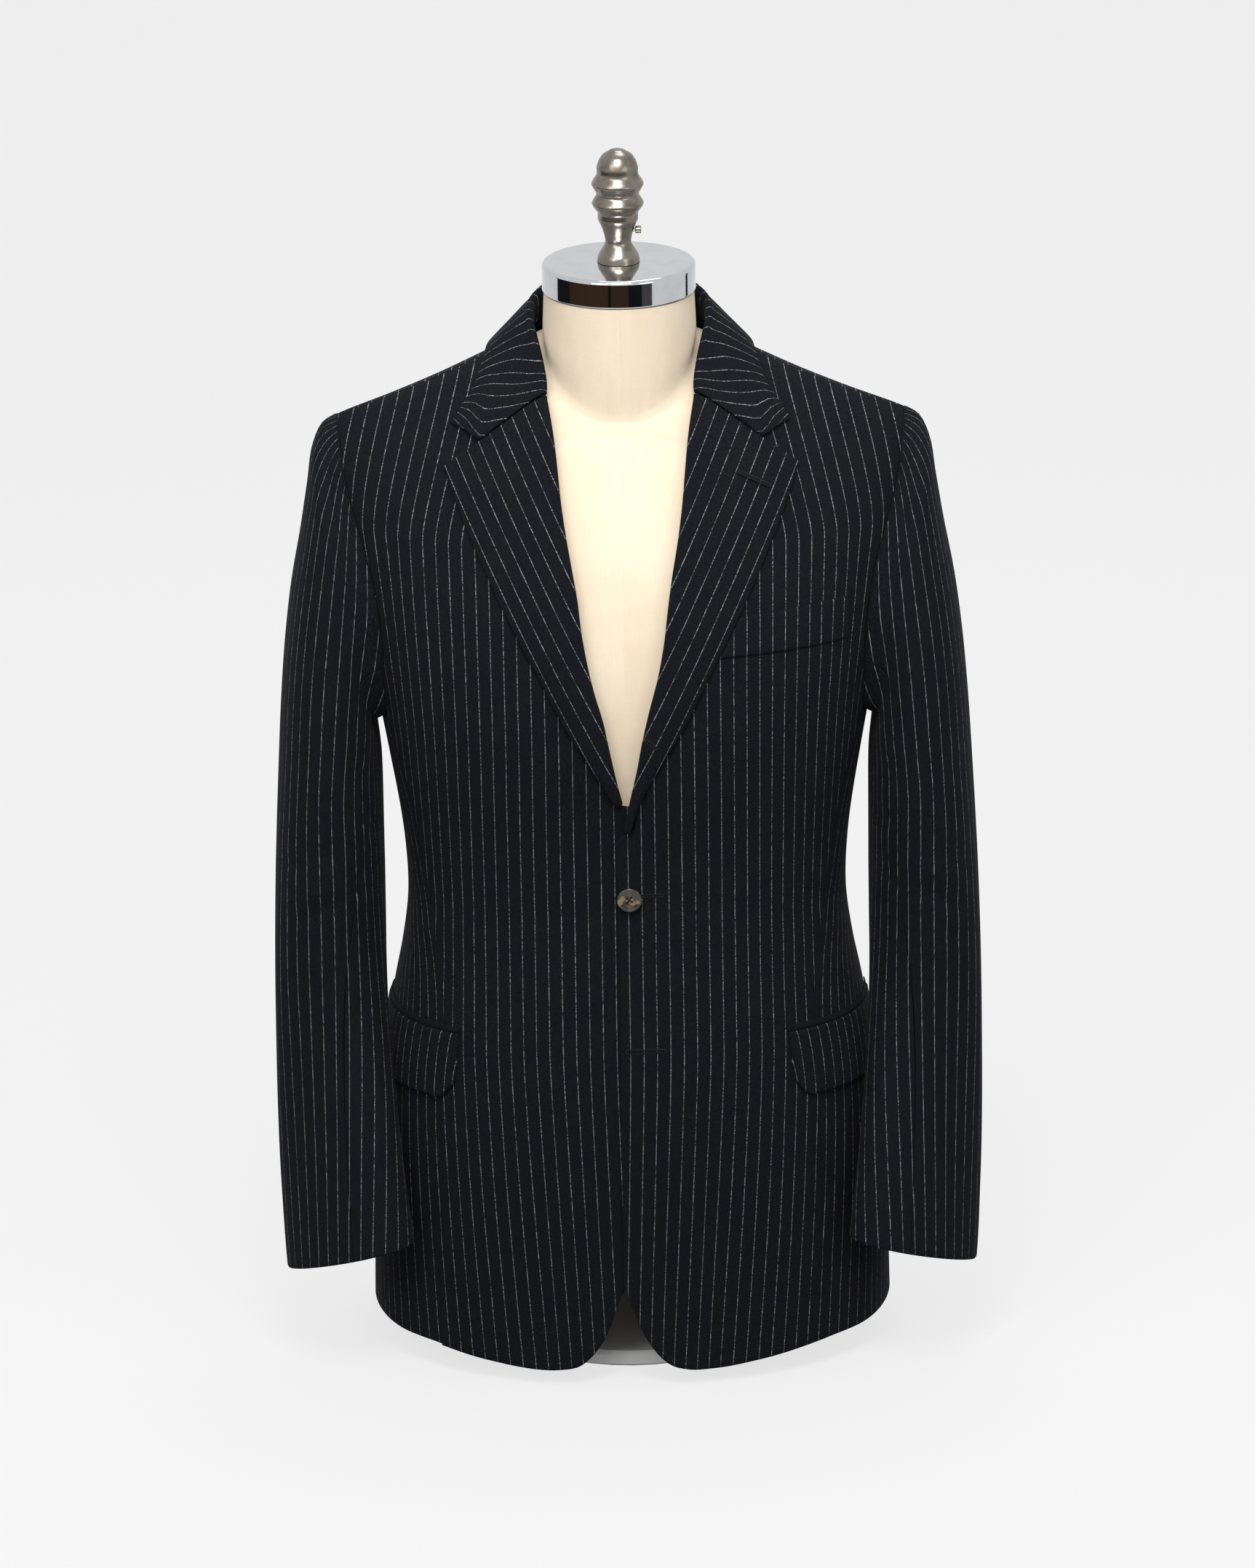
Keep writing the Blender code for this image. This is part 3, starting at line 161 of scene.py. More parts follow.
GIRTH = Table("height half_width front back", [
    (0.010, 0.2030, 0.1500, 0.1400),
    (0.080, 0.2015, 0.1500, 0.1410),
    (0.150, 0.1985, 0.1500, 0.1420),
    (0.200, 0.1940, 0.1485, 0.1405),
    (0.250, 0.1880, 0.1460, 0.1370),
    (0.300, 0.1795, 0.1410, 0.1280),
    (0.336, 0.1724, 0.1370, 0.1190),
    (0.370, 0.1700, 0.1340, 0.1130),
    (0.430, 0.1750, 0.1340, 0.1120),
    (0.480, 0.1830, 0.1385, 0.1200),
    (0.520, 0.1900, 0.1400, 0.1270),
])
SHOULDER = Table("x height y", [
    (0.000, 0.8350, 0.024),
    (0.045, 0.8200, 0.021),
    (0.066, 0.8080, 0.019),
    (0.088, 0.7970, 0.017),
    (0.133, 0.7760, 0.013),
    (0.178, 0.7585, 0.010),
    (0.2175, 0.7450, 0.008),
    (0.240, 0.7350, 0.008),
])
ARMHOLE = Table("height x", [
    (0.520, 0.1830),
    (0.575, 0.1850),
    (0.624, 0.1905),
    (0.655, 0.1985),
    (0.690, 0.2090),
    (0.720, 0.2150),
    (0.745, 0.2175),
])
ROLL_LINE = Table("height x", [
    (0.409, -0.0066),
    (0.440, -0.0035),
    (0.470, 0.0015),
    (0.510, 0.0103),
    (0.535, 0.0148),
    (0.570, 0.0243),
    (0.607, 0.0315),
    (0.634, 0.0347),
    (0.672, 0.0415),
    (0.698, 0.0455),
    (0.745, 0.0508),
    (0.772, 0.0560),
    (0.793, 0.0610),
    (0.806, 0.0680),
])
LAPEL_EDGE = Table("height x", [
    (0.452, 0.0034),
    (0.470, 0.0082),
    (0.509, 0.0290),
    (0.5374, 0.0462),
    (0.5687, 0.0620),
    (0.595, 0.0757),
    (0.620, 0.0890),
    (0.650, 0.1035),
    (0.685, 0.1205),
    (0.7195, 0.1348),
])
FRONT_HEM = Table("from_centre height", [
    (-0.020, 0.1000),
    (-0.006, 0.0930),
    (0.0000, 0.0810),
    (0.0056, 0.0670),
    (0.0143, 0.0430),
    (0.0240, 0.0275),
    (0.0355, 0.0163),
    (0.0580, 0.0128),
    (0.1030, 0.0158),
    (0.1500, 0.0218),
    (0.2050, 0.0268),
])
SIDE_SEAMS = Table("height front_x back_x", [
    (0.010, 0.1500, 0.1650),
    (0.200, 0.1480, 0.1580),
    (0.306, 0.1443, 0.1500),
    (0.386, 0.1544, 0.1520),
    (0.450, 0.1650, 0.1630),
    (0.520, 0.1830, 0.1830),
])
# Rows of the panels up to the chest; close pairs lie where a front's cut edge steps back
LEVELS = (0, 0.012, 0.030, 0.055, 0.085, 0.120, 0.160, 0.205, 0.250, 0.285, 0.320, 0.360, 0.405,
          0.4475, 0.4510, 0.4690, 0.4722, 0.486, 0.503, 0.520)
YOKE_ROWS = 9             # rows from the chest to the shoulder seam
FRONT_COLUMNS, SIDE_COLUMNS, BACK_COLUMNS = 11, 6, 9
COLLAR_LEAF = Table("along x height", [
    (0.00, 0.1288, 0.7470),
    (0.35, 0.1185, 0.7605),
    (0.70, 0.1090, 0.7740),
    (1.00, 0.1020, 0.7905),
])
COLLAR_BACK = Table("along x y", [
    (0.00, 0.1020, 0.016),
    (0.25, 0.0930, 0.044),
    (0.50, 0.0720, 0.067),
    (0.75, 0.0400, 0.083),
    (1.00, 0.0000, 0.090),
])
COLLAR_RISE = Table("along rise", [
    (0.00, 0.0057),
    (0.20, 0.0090),
    (0.45, 0.0225),
    (0.70, 0.0310),
    (1.00, 0.0340),
])
# Sleeve rings: the outer and inner ends of each, its middle in y, its half depth,
# how far it is turned about the arm, and how far it has left the armhole's own shape
SLEEVE = Table("ring outer_x outer_z inner_x inner_z middle_y half_depth turn free", [
    (0, 0.2178, 0.7450, 0.1903, 0.5200, 0.004, 0.0660, 0, 0.0),
    (1, 0.2275, 0.7400, 0.1925, 0.5110, 0.003, 0.0675, 0, 0.3),
    (2, 0.2350, 0.7290, 0.1925, 0.5050, 0.002, 0.0690, 0, 0.6),
    (3, 0.2400, 0.7050, 0.1918, 0.4985, 0.001, 0.0705, 0, 0.8),
    (4, 0.2445, 0.6720, 0.1910, 0.4920, 0.000, 0.0720, 0, 0.95),
    (5, 0.2525, 0.6330, 0.1900, 0.4850, -0.001, 0.0735, 0, 1.0),
    (6, 0.2590, 0.5900, 0.1890, 0.4770, -0.002, 0.0740, 0, 1.0),
    (7, 0.2638, 0.5450, 0.1885, 0.4670, -0.003, 0.0735, 0, 1.0),
    (8, 0.2672, 0.4960, 0.1882, 0.4520, -0.005, 0.0720, 0, 1.0),
    (9, 0.2698, 0.4470, 0.1882, 0.4280, -0.008, 0.0700, 2, 1.0),
    (10, 0.2718, 0.4030, 0.1882, 0.3960, -0.013, 0.0670, 5, 1.0),
    (11, 0.2730, 0.3580, 0.1882, 0.3600, -0.021, 0.0640, 10, 1.0),
    (12, 0.2738, 0.3120, 0.1885, 0.3240, -0.032, 0.0610, 16, 1.0),
    (13, 0.2740, 0.2640, 0.1875, 0.2850, -0.046, 0.0580, 22, 1.0),
    (14, 0.2740, 0.2160, 0.1845, 0.2410, -0.060, 0.0550, 28, 1.0),
    (15, 0.2732, 0.1675, 0.1800, 0.1945, -0.073, 0.0520, 33, 1.0),
    (16, 0.2712, 0.1220, 0.1750, 0.1490, -0.084, 0.0495, 37, 1.0),
    (17, 0.2685, 0.0780, 0.1695, 0.1050, -0.093, 0.0475, 40, 1.0),
])
SLEEVE_POINTS = 2 * YOKE_ROWS + SIDE_COLUMNS - 1      # one for each point of the armhole's edge
FRONT_SEAM, BACK_SEAM = 8, 16
SLEEVE_ROWS = 18
SLEEVE_SQUARENESS = 2.15
FLAT_RATIO = 0.56         # a cuff's short half width over its long one
FULL_TURN = 40            # degrees by which the cuff is turned

FORM_COLUMNS = 32
FORM_ROWS = 10            # from the form's foot to the chest
FORM_LIFTS = (12, 24, 36, 47)
FORM_DRAWS = (0.10, 0.28, 0.50, 0.72, 0.90, 1.0)      # from the shoulders, 0, in to the neck, 1
FORM_SHOULDER = (0.178, 0.012)            # half width at the armholes, and how much it grows upwards
FORM_SHOULDER_DROP = 0.003
FORM_SIDE_Y = 0.006       # where the form's flat armhole sides lie, front to back
FORM_NECK_Y = 0.004
FORM_NECK_EASE = 0.002    # the neck's foot is this much wider than its top
FINIAL = Table("height radius", [
    (0.0000, 0.0163),
    (0.0045, 0.0156),
    (0.0095, 0.0130),
    (0.0140, 0.0103),
    (0.0220, 0.0110),
    (0.0280, 0.0130),
    (0.0330, 0.0153),
    (0.0395, 0.0160),
    (0.0430, 0.0186),
    (0.0458, 0.0198),
    (0.0486, 0.0186),
    (0.0530, 0.0163),
    (0.0580, 0.0186),
    (0.0610, 0.0199),
    (0.0640, 0.0187),
    (0.0675, 0.0164),
    (0.0750, 0.0156),
    (0.0805, 0.0135),
    (0.0845, 0.0103),
    (0.0870, 0.0060),
])
FINIAL_TOP = 0.0880
SET_SCREW_HEIGHT = 0.0245
SET_SCREW_RADIUS = 0.0030
SET_SCREW_LENGTH = 0.0045
SHANK_RADIUS = 0.0015
SHANK_LENGTH = 0.008

# Looks
STRIPE_PITCH = 0.01035    # from one chalk stripe to the next
STRIPE_START = 0.0010     # the first stripe, past the centre
FINE = 0.0048             # spacing of the fine grids
TURNED_RIM = 0.0022       # how far in from its edge cloth rounds over
RIM_DROP = 0.0008
STITCH_IN = 0.006         # edge stitching, in from the edge
STITCH_PITCH = 0.0052     # from one stitch to the next
STITCH_LENGTH = 0.0019
STITCH_RADIUS = 0.00022
STITCH_FREE = 0.004       # left free at both ends of a line of stitches
EDGE_STITCH_TOP = 0.436   # the left front's edge is stitched from here down
BUTTONHOLE_WIDTH = 0.0021
BUTTONHOLE_PITCH = 0.00062
FRONT_BUTTONHOLES = {     # on the left front: from, to and the eyelet's radius
    "middle_buttonhole": ((0.0118, 0.3984), (0.0275, 0.3984), 0.0),
    "lower_buttonhole": ((-0.0005, 0.2752), (0.0275, 0.2755), 0.0019),
}
LAPEL_BUTTONHOLES = {     # on the left lapel: from and to
    "lapel_buttonhole": ((0.0885, 0.7160), (0.1115, 0.7055)),
    "upper_buttonhole": ((0.0160, 0.5275), (0.0235, 0.5215)),
}
HOLE_SPREAD = 0.26        # a button's holes from its centre, as a share of its radius
HOLE_RADIUS = 0.085       # and their own radius

# How the stripes lie
HEM_LEAN_TOP, HEM_LEAN_DROP = 0.27, 0.24              # the fronts' stripes lean in below the first height
HEM_LEAN_REACH = 0.070    # and the more so out to this far from the centre
NECK_LEAN_FOOT = 0.665    # they lean in again above this height
SIDE_START = 0.178        # way round the body from the centre to a side body's first edge
LAPEL_FIRST_STRIPE = 0.0012           # in from the lapel's outer edge
LAPEL_TIP_SHIFT = 0.0045
LAPEL_TIP_LEVELS = (0.455, 0.490)
LAPEL_LINE = ((0.0290, 0.509), LAPEL_CORNER)          # along the lapel's straight outer edge
COLLAR_TILT = 0.50        # how far the collar's stripes are laid over towards its front ends
ARM_HALF_WIDTH, ARM_HALF_DEPTH = 0.0400, 0.0715
ARM_FRONT_X = 0.2330      # stripes of the lower sleeve run straight down here
ARM_FRONT_LEVEL = 0.44
HEAD_LEVELS = (0.425, 0.500)          # between these the sleeve's stripes pass from rings to upright lines
FLAP_SLANT = 9.0          # degrees
ARM_LINE = Table("height outer_x y", [
    (0.400, 0.2718, -0.013),
    (0.447, 0.2698, -0.008),
    (0.496, 0.2672, -0.005),
    (0.545, 0.2638, -0.003),
    (0.590, 0.2595, -0.002),
    (0.633, 0.2552, -0.001),
    (0.672, 0.2515, 0.000),
    (0.705, 0.2485, 0.001),
    (0.745, 0.2460, 0.004),
])

# The record's name for the cloth
FLANNEL_SLOT = "chalk stripe flannel"

# The studio and the photograph's view
ROOM = 0.870              # brightness of the room
FLOOR_REACH = 40.0
CARD_DISTANCE = 1.9
CARD_FOOT, CARD_TOP = 0.03, 0.62
VIEW_TILT, VIEW_ROLL = 18.85, 0.78    # degrees
VIEW_TARGET = (0.0014, 0.0, 0.4439)
VIEW_DISTANCE = 7.4
SENSOR = 36.0
FOCAL_LENGTH, PHOTO_HEIGHT = 13097, 2156              # in the photograph's own pixels

# Soft troughs, below zero, and ridges: from, to, half width and depth, for the wearer's left side
CREASES = [
    ((0.014, -0.134, 0.405), (0.058, -0.131, 0.446), 0.008, -0.0012),
    ((0.016, -0.134, 0.396), (0.088, -0.121, 0.383), 0.010, -0.0010),
    ((0.012, -0.137, 0.384), (0.052, -0.138, 0.336), 0.009, -0.0011),
    ((0.118, -0.093, 0.376), (0.166, -0.030, 0.366), 0.011, -0.0019),
    ((0.110, -0.104, 0.352), (0.160, -0.045, 0.338), 0.012, 0.0012),
    ((0.164, -0.070, 0.560), (0.180, -0.055, 0.678), 0.012, -0.0022),
    ((0.148, -0.088, 0.548), (0.163, -0.075, 0.655), 0.013, 0.0012),
    ((0.108, -0.117, 0.205), (0.101, -0.126, 0.060), 0.017, 0.0016),
    ((0.137, -0.092, 0.215), (0.136, -0.100, 0.040), 0.015, -0.0016),
    ((0.172, -0.052, 0.200), (0.186, -0.040, 0.060), 0.014, 0.0014),
    ((0.148, 0.088, 0.565), (0.108, 0.112, 0.478), 0.012, -0.0022),
    ((0.160, 0.075, 0.520), (0.128, 0.098, 0.440), 0.011, -0.0016),
    ((0.168, 0.070, 0.545), (0.181, 0.052, 0.670), 0.011, -0.0024),
    ((0.150, 0.085, 0.600), (0.160, 0.072, 0.680), 0.012, 0.0013),
    ((0.022, 0.112, 0.374), (0.128, 0.083, 0.362), 0.009, -0.0022),
    ((0.036, 0.114, 0.396), (0.118, 0.090, 0.388), 0.009, 0.0012),
    ((0.045, 0.116, 0.350), (0.140, 0.078, 0.338), 0.011, 0.0013),
    ((0.070, 0.132, 0.270), (0.104, 0.125, 0.150), 0.018, -0.0015),
    ((0.122, 0.112, 0.230), (0.130, 0.112, 0.060), 0.015, 0.0016),
    ((0.222, -0.079, 0.418), (0.262, -0.060, 0.402), 0.007, -0.0020),
    ((0.214, -0.084, 0.388), (0.258, -0.072, 0.364), 0.007, -0.0026),
    ((0.226, -0.088, 0.352), (0.262, -0.076, 0.336), 0.008, -0.0017),
    ((0.216, -0.082, 0.403), (0.255, -0.068, 0.384), 0.006, 0.0011),
    ((0.206, -0.072, 0.520), (0.246, -0.056, 0.474), 0.010, -0.0016),
    ((0.190, -0.046, 0.402), (0.202, -0.078, 0.372), 0.008, -0.0020),
    ((0.192, -0.030, 0.440), (0.200, -0.064, 0.428), 0.008, -0.0014),
    ((0.222, 0.058, 0.446), (0.262, 0.036, 0.424), 0.010, 0.0014),
    ((0.220, 0.034, 0.366), (0.258, 0.010, 0.336), 0.009, -0.0018),
    ((0.224, 0.020, 0.312), (0.262, -0.006, 0.284), 0.010, -0.0014),
    ((0.216, -0.124, 0.212), (0.250, -0.116, 0.176), 0.012, -0.0012),
    ((0.240, -0.052, 0.140), (0.264, -0.070, 0.090), 0.012, 0.0012),
    ((0.233, -0.034, 0.724), (0.246, -0.040, 0.682), 0.008, -0.0011),
    ((0.235, 0.032, 0.722), (0.247, 0.040, 0.676), 0.009, -0.0012),
]


def unit(vector):
    """A vector, or each of an array of vectors, at length one."""
    vector = np.asarray(vector, float)
    return vector / np.linalg.norm(vector, axis=-1, keepdims=True)


def ease(low, high, value):
    """A smooth step from 0 at low to 1 at high."""
    t = np.clip((value - low) / (high - low), 0.0, 1.0)
    return t * t * (3 - 2 * t)


# Shader maths

class Shade:
    """One socket of a material; Python's operators on it add Math nodes."""

    def __init__(self, tree, socket=None):
        self.tree, self.socket = tree, socket

    def node(self, kind, inputs=(), output=0, **settings):
        """Add any node: its settings first, then the values or links of its sockets."""
        node = self.tree.nodes.new(kind)
        stops = settings.pop("stops", ())
        for name, value in settings.items():
            setattr(node, name, value)
        for number, (place, colour) in enumerate(stops):
            if number > 1:
                node.color_ramp.elements.new(place)
            node.color_ramp.elements[number].position = place
            node.color_ramp.elements[number].color = (*colour, 1.0)
        for name, value in dict(inputs).items():
            if isinstance(value, Shade):
                self.tree.links.new(value.socket, node.inputs[name])
            else:
                node.inputs[name].default_value = value
        return Shade(self.tree, node.outputs[output])

    def maths(self, operation, first, second=0.0):
        return self.node("ShaderNodeMath", {0: first, 1: second}, operation=operation)

    def __add__(self, other):
        return self.maths("ADD", self, other)

    def __radd__(self, other):
        return self.maths("ADD", other, self)

    def __sub__(self, other):
        return self.maths("SUBTRACT", self, other)

    def __rsub__(self, other):
        return self.maths("SUBTRACT", other, self)

    def __mul__(self, other):
        return self.maths("MULTIPLY", self, other)

    def __rmul__(self, other):
        return self.maths("MULTIPLY", other, self)

    def __abs__(self):
        return self.maths("ABSOLUTE", self)

    def sine(self):
        return self.maths("SINE", self)

    def nearest(self):
        return self.maths("ROUND", self)

    def step(self, low, high, first=0.0, last=1.0):
        """A smooth step from first, at low, to last, at high."""
        return self.node("ShaderNodeMapRange", {"Value": self, "From Min": low, "From Max": high,
                                                "To Min": first, "To Max": last},
                         interpolation_type="SMOOTHSTEP")

    def parts(self):
        """The three numbers of a vector."""
        split = self.tree.nodes.new("ShaderNodeSeparateXYZ")
        self.tree.links.new(self.socket, split.inputs[0])
        return [Shade(self.tree, out) for out in split.outputs]

    def vector(self, x, y, z=0.0):
        return self.node("ShaderNodeCombineXYZ", {"X": x, "Y": y, "Z": z})

    def noise(self, place, scale, detail=2.0, roughness=0.5):
        return self.node("ShaderNodeTexNoise", {"Vector": place, "Scale": scale, "Detail": detail,
                                                "Roughness": roughness})

    def colour(self, share, first, second):
        """A mix of two colours."""
        first = first if isinstance(first, Shade) else (*first, 1.0)
        second = second if isinstance(second, Shade) else (*second, 1.0)
        return self.node("ShaderNodeMix", {0: share, 6: first, 7: second}, 2, data_type="RGBA")

    def bump(self, height, strength, distance):
        return self.node("ShaderNodeBump", {"Height": height, "Strength": strength, "Distance": distance})


def new_material(name, constants):
    """A material, a start for its nodes and its shader; what is the same all over is set on the shader."""
    material = bpy.data.materials.new(name)
    material.use_nodes = True
    shader = material.node_tree.nodes["Principled BSDF"]
    for socket, value in constants.items():
        shader.inputs[socket].default_value = value
    return material, Shade(material.node_tree), shader


def feed(shader, **links):
    """Link what changes over the surface."""
    for name, value in links.items():
        value.tree.links.new(value.socket, shader.inputs[name.replace("_", " ").title()])


def flannel_material():
    """Dark flannel with broken chalk stripes along the piece's own lay, in metres."""
    material, start, shader = new_material("chalk_stripe_flannel", {
        "Specular IOR Level": 0.035, "Sheen Weight": 0.015, "Sheen Roughness": 0.5})
    lay = start.node("ShaderNodeUVMap", uv_map="lay")
    u, v, _ = lay.parts()
    shake = start.noise(start.vector(u * 55.0, v * 260.0), 1.0)
    count = (u - STRIPE_START) * (1 / STRIPE_PITCH) + (shake - 0.5) * 0.030
    own = count.nearest()
    away = abs(count - own) * (STRIPE_PITCH * 1000)
    line = away.step(0.10, 0.44, 1.0, 0.0)
    dots = start.noise(start.vector(own * 3.7, v * 700.0), 1.0, 1.0).step(0.36, 0.62, 0.12, 1.0)
    runs = start.noise(start.vector(own * 9.1, v * 110.0), 1.0, 2.0).step(0.32, 0.62, 0.40, 1.0)
    chalk = line * dots * runs
    nap = start.noise(lay, 1350.0, 3.0, 0.7)
    fuzz = start.noise(lay, 420.0, 2.0, 0.6).step(0.30, 0.70)
    specks = start.noise(lay, 3100.0, 1.0).step(0.56, 0.74)
    cloud = start.noise(lay, 34.0, 3.0, 0.6).step(0.36, 0.66)
    ground = start.colour(cloud, (0.0088, 0.0092, 0.0110), (0.0066, 0.0080, 0.0134))
    # Partly fibre tone, partly painted shade: the nap's random tone is darkest where its bump sinks, in the
    # nap's hollows.
    hollow = start.colour(0.75, ground, (0.0014, 0.0015, 0.0022))
    ground = start.colour(nap.step(0.35, 0.68), hollow, ground)
    ground = start.colour(fuzz * 0.62, ground, (0.0022, 0.0025, 0.0036))
    ground = start.colour(specks * 0.50, ground, (0.056, 0.058, 0.064))
    twill = ((u + v) * (2 * math.pi / 0.0011)).sine()
    height = nap * 0.7 + twill * 0.12 + chalk * 0.30
    feed(shader, base_color=start.colour(chalk, ground, (0.232, 0.238, 0.250)),
         roughness=nap.step(0.2, 0.8, 0.80, 0.98),
         normal=start.bump(height, 0.35, 0.00035))
    return material


def lining_material():
    """Dark satin lining with a fine rib."""
    material, start, shader = new_material("lining", {"Specular IOR Level": 0.4})
    lay = start.node("ShaderNodeUVMap", uv_map="lay")
    u, v, _ = lay.parts()
    cloud = start.noise(lay, 30.0, 2.0)
    rib = ((u - v) * (2 * math.pi / 0.0006)).sine()
    feed(shader, base_color=start.colour(cloud, (0.010, 0.012, 0.020), (0.016, 0.019, 0.030)),
         roughness=cloud.step(0.3, 0.7, 0.38, 0.52),
         normal=start.bump(rib, 0.15, 0.0001))
    return material


def thread_material(name, colour):
    """Twisted sewing thread, its twist's grooves painted darker as painted shade; it also makes near-black
    strands of painted shade.
    """
    material, start, shader = new_material(name, {"Specular IOR Level": 0.1})
    place = start.node("ShaderNodeTexCoord", output=3)
    x, y, z = place.parts()
    twist = ((x + y * 0.6 + z * 1.4) * (2 * math.pi / 0.0006)).sine()
    # Painted shade: the thread is darker where the twist's bump sinks, in its grooves.
    dark = tuple(channel * 0.55 for channel in colour)
    feed(shader, base_color=start.colour(twist.step(-1.0, 1.0), dark, colour),
         roughness=twist.step(-1.0, 1.0, 0.60, 0.78), normal=start.bump(twist, 0.3, 0.0001))
    return material


def horn_material():
    """Mottled brown horn with tan patches."""
    material, start, shader = new_material("horn", {"Specular IOR Level": 0.5, "Coat Weight": 0.35,
                                                    "Coat Roughness": 0.12})
    place = start.node("ShaderNodeTexCoord", output=3)
    cloud = start.noise(place, 240.0, 3.0, 0.6)
    patch = start.noise(place, 119.0, 1.0, 0.4).step(0.62, 0.68)
    grain = start.noise(place, 900.0, 3.0, 0.7)
    ground = start.colour(cloud.step(0.32, 0.68), (0.010, 0.009, 0.007), (0.048, 0.037, 0.026))
    ground = start.colour(patch * 0.7, ground, (0.260, 0.175, 0.080))
    feed(shader, base_color=start.colour(grain.step(0.45, 0.75) * 0.35, ground, (0.008, 0.007, 0.006)),
         roughness=grain.step(0.3, 0.7, 0.20, 0.34), normal=start.bump(grain, 0.08, 0.0002))
    return material


def linen_material():
    """Cream linen: a fine plain weave with thicker threads here and there."""
    material, start, shader = new_material("linen", {"Specular IOR Level": 0.25, "Sheen Weight": 0.05})
    lay = start.node("ShaderNodeUVMap", uv_map="lay")
    u, v, _ = lay.parts()
    across = start.noise(start.vector(u * 60.0, v * 1500.0), 1.0, 2.0)
    along = start.noise(start.vector(u * 1500.0, v * 60.0), 1.0, 2.0)
    weave = (u * (2 * math.pi / 0.0009)).sine() * (v * (2 * math.pi / 0.0009)).sine()
    slub = across.step(0.55, 0.72) * 0.5 + along.step(0.55, 0.72) * 0.5
    cloud = start.noise(lay, 16.0, 3.0, 0.6)
    cream = start.colour(cloud.step(0.3, 0.7), (0.690, 0.575, 0.430), (0.735, 0.630, 0.490))
    cream = start.colour(weave.step(-1.0, 1.0) * 0.28, cream, (0.500, 0.395, 0.280))
    feed(shader, base_color=start.colour(slub * 0.32, cream, (0.800, 0.725, 0.610)),
         roughness=weave.step(-1.0, 1.0, 0.92, 0.80),
         normal=start.bump(weave * 0.5 + slub, 0.4, 0.0003))
    return material


def metal_material(name, colour, wear_and_painted_reflection, low, high, scale):
    """Plated metal: its roughness and tone drift a little with handling; on the nickel the darker tone is
    partly painted dark reflection.
    """
    material, start, shader = new_material(name, {"Metallic": 1.0})
    place = start.node("ShaderNodeTexCoord", output=3)
    cloud = start.noise(place, scale, 4.0, 0.6)
    x, y, z = place.parts()
    scratch = start.noise(start.vector(x * 70.0, y * 70.0, z * 1400.0), 1.0, 2.0)
    feed(shader, base_color=start.colour(cloud.step(0.35, 0.75), colour, wear_and_painted_reflection),
         roughness=cloud.step(0.3, 0.7, low, high), normal=start.bump(scratch, 0.05, 0.0001))
    return material


def base_material():
    """Pale powder coat."""
    material, start, shader = new_material("base_paint", {"Specular IOR Level": 0.4})
    place = start.node("ShaderNodeTexCoord", output=3)
    peel = start.noise(place, 700.0, 2.0)
    cloud = start.noise(place, 12.0, 3.0)
    feed(shader, base_color=start.colour(cloud, (0.800, 0.800, 0.790), (0.850, 0.850, 0.845)),
         roughness=peel.step(0.3, 0.7, 0.42, 0.56), normal=start.bump(peel, 0.12, 0.0002))
    return material


FLANNEL = flannel_material()
LINING = lining_material()
THREAD = thread_material("dark_thread", (0.018, 0.019, 0.024))
# Painted shade: near-black strands for the buttonholes' slits and keyholes, and for the gaps at the armholes
# and the gorge.
SHADE_STRAND = thread_material("slit", (0.004, 0.004, 0.005))
HORN = horn_material()
LINEN = linen_material()
CHROME = metal_material("chrome", (0.600, 0.615, 0.640), (0.545, 0.560, 0.580), 0.045, 0.075, 60.0)
# Painted reflection: the nickel is set far darker than plated nickel, standing in for the dark surroundings
# it reflects; its darker patches are partly tarnish, partly painted dark reflection.
NICKEL = metal_material("nickel", (0.240, 0.216, 0.186), (0.128, 0.111, 0.091), 0.22, 0.34, 90.0)
BASE_PAINT = base_material()


# The figure that every cloth piece is laid on

def section_depth(x, half_width, depth):
    """Depth of a superellipse section at x."""
    return depth * max(0.0, 1 - (abs(x) / half_width) ** SQUARENESS) ** (1 / SQUARENESS)


def torso(angle, height):
    """Outer face below the armholes; angle 0 is the front centre and 180 degrees the back."""
    half_width, front, back = GIRTH(height)
    across, along = math.sin(angle), math.cos(angle)
    x = half_width * math.copysign(abs(across) ** (2 / SQUARENESS), across)
    reach = front if along > 0 else back
    y = -math.copysign(reach * abs(along) ** (2 / SQUARENESS), along)
    return np.array((x, y, height))


def yoke(x, lift, side):
    """Outer face from the foot of the armholes, lift 0, to the shoulder seam, lift 90 degrees."""
    half_width, front, back = GIRTH(CHEST_LEVEL)
    top, top_y = SHOULDER(abs(x))
    reach = half_width + (SHOULDER_REACH - half_width) * math.sin(lift)
    low_y = side * section_depth(x, reach, front if side == FRONT else back)
    height = CHEST_LEVEL + (top - CHEST_LEVEL) * math.sin(lift) ** RISE[side]
    level = max(0.0, math.cos(lift))
    fall = math.hypot(level ** FALL[side], RIDGE[side] * level) / math.hypot(1, RIDGE[side])
    return np.array((x, top_y + (low_y - top_y) * fall, height))


def back_neck(lift):
    """Half width of the neck's edge on the back, at a lift in degrees."""
    return NECK_HALF_WIDTH * math.sqrt(max(0.0, lift - BACK_NECK_LIFT) / (90.0 - BACK_NECK_LIFT))


def facing_out(function, first, second, outward):
    """Unit normal of a surface function, on the side that outward points to."""
    step = 1e-3
    along = function(first + step, second) - function(first - step, second)
    up = function(first, second + step) - function(first, second - step)
    normal = unit(np.cross(along, up))
    return normal if normal @ outward > 0 else -normal


def torso_spot(angle, height):
    """Point and normal on the torso."""
    spot = torso(angle, height)
    return spot, facing_out(torso, angle, height, np.array((spot[0], spot[1], 0.0)))


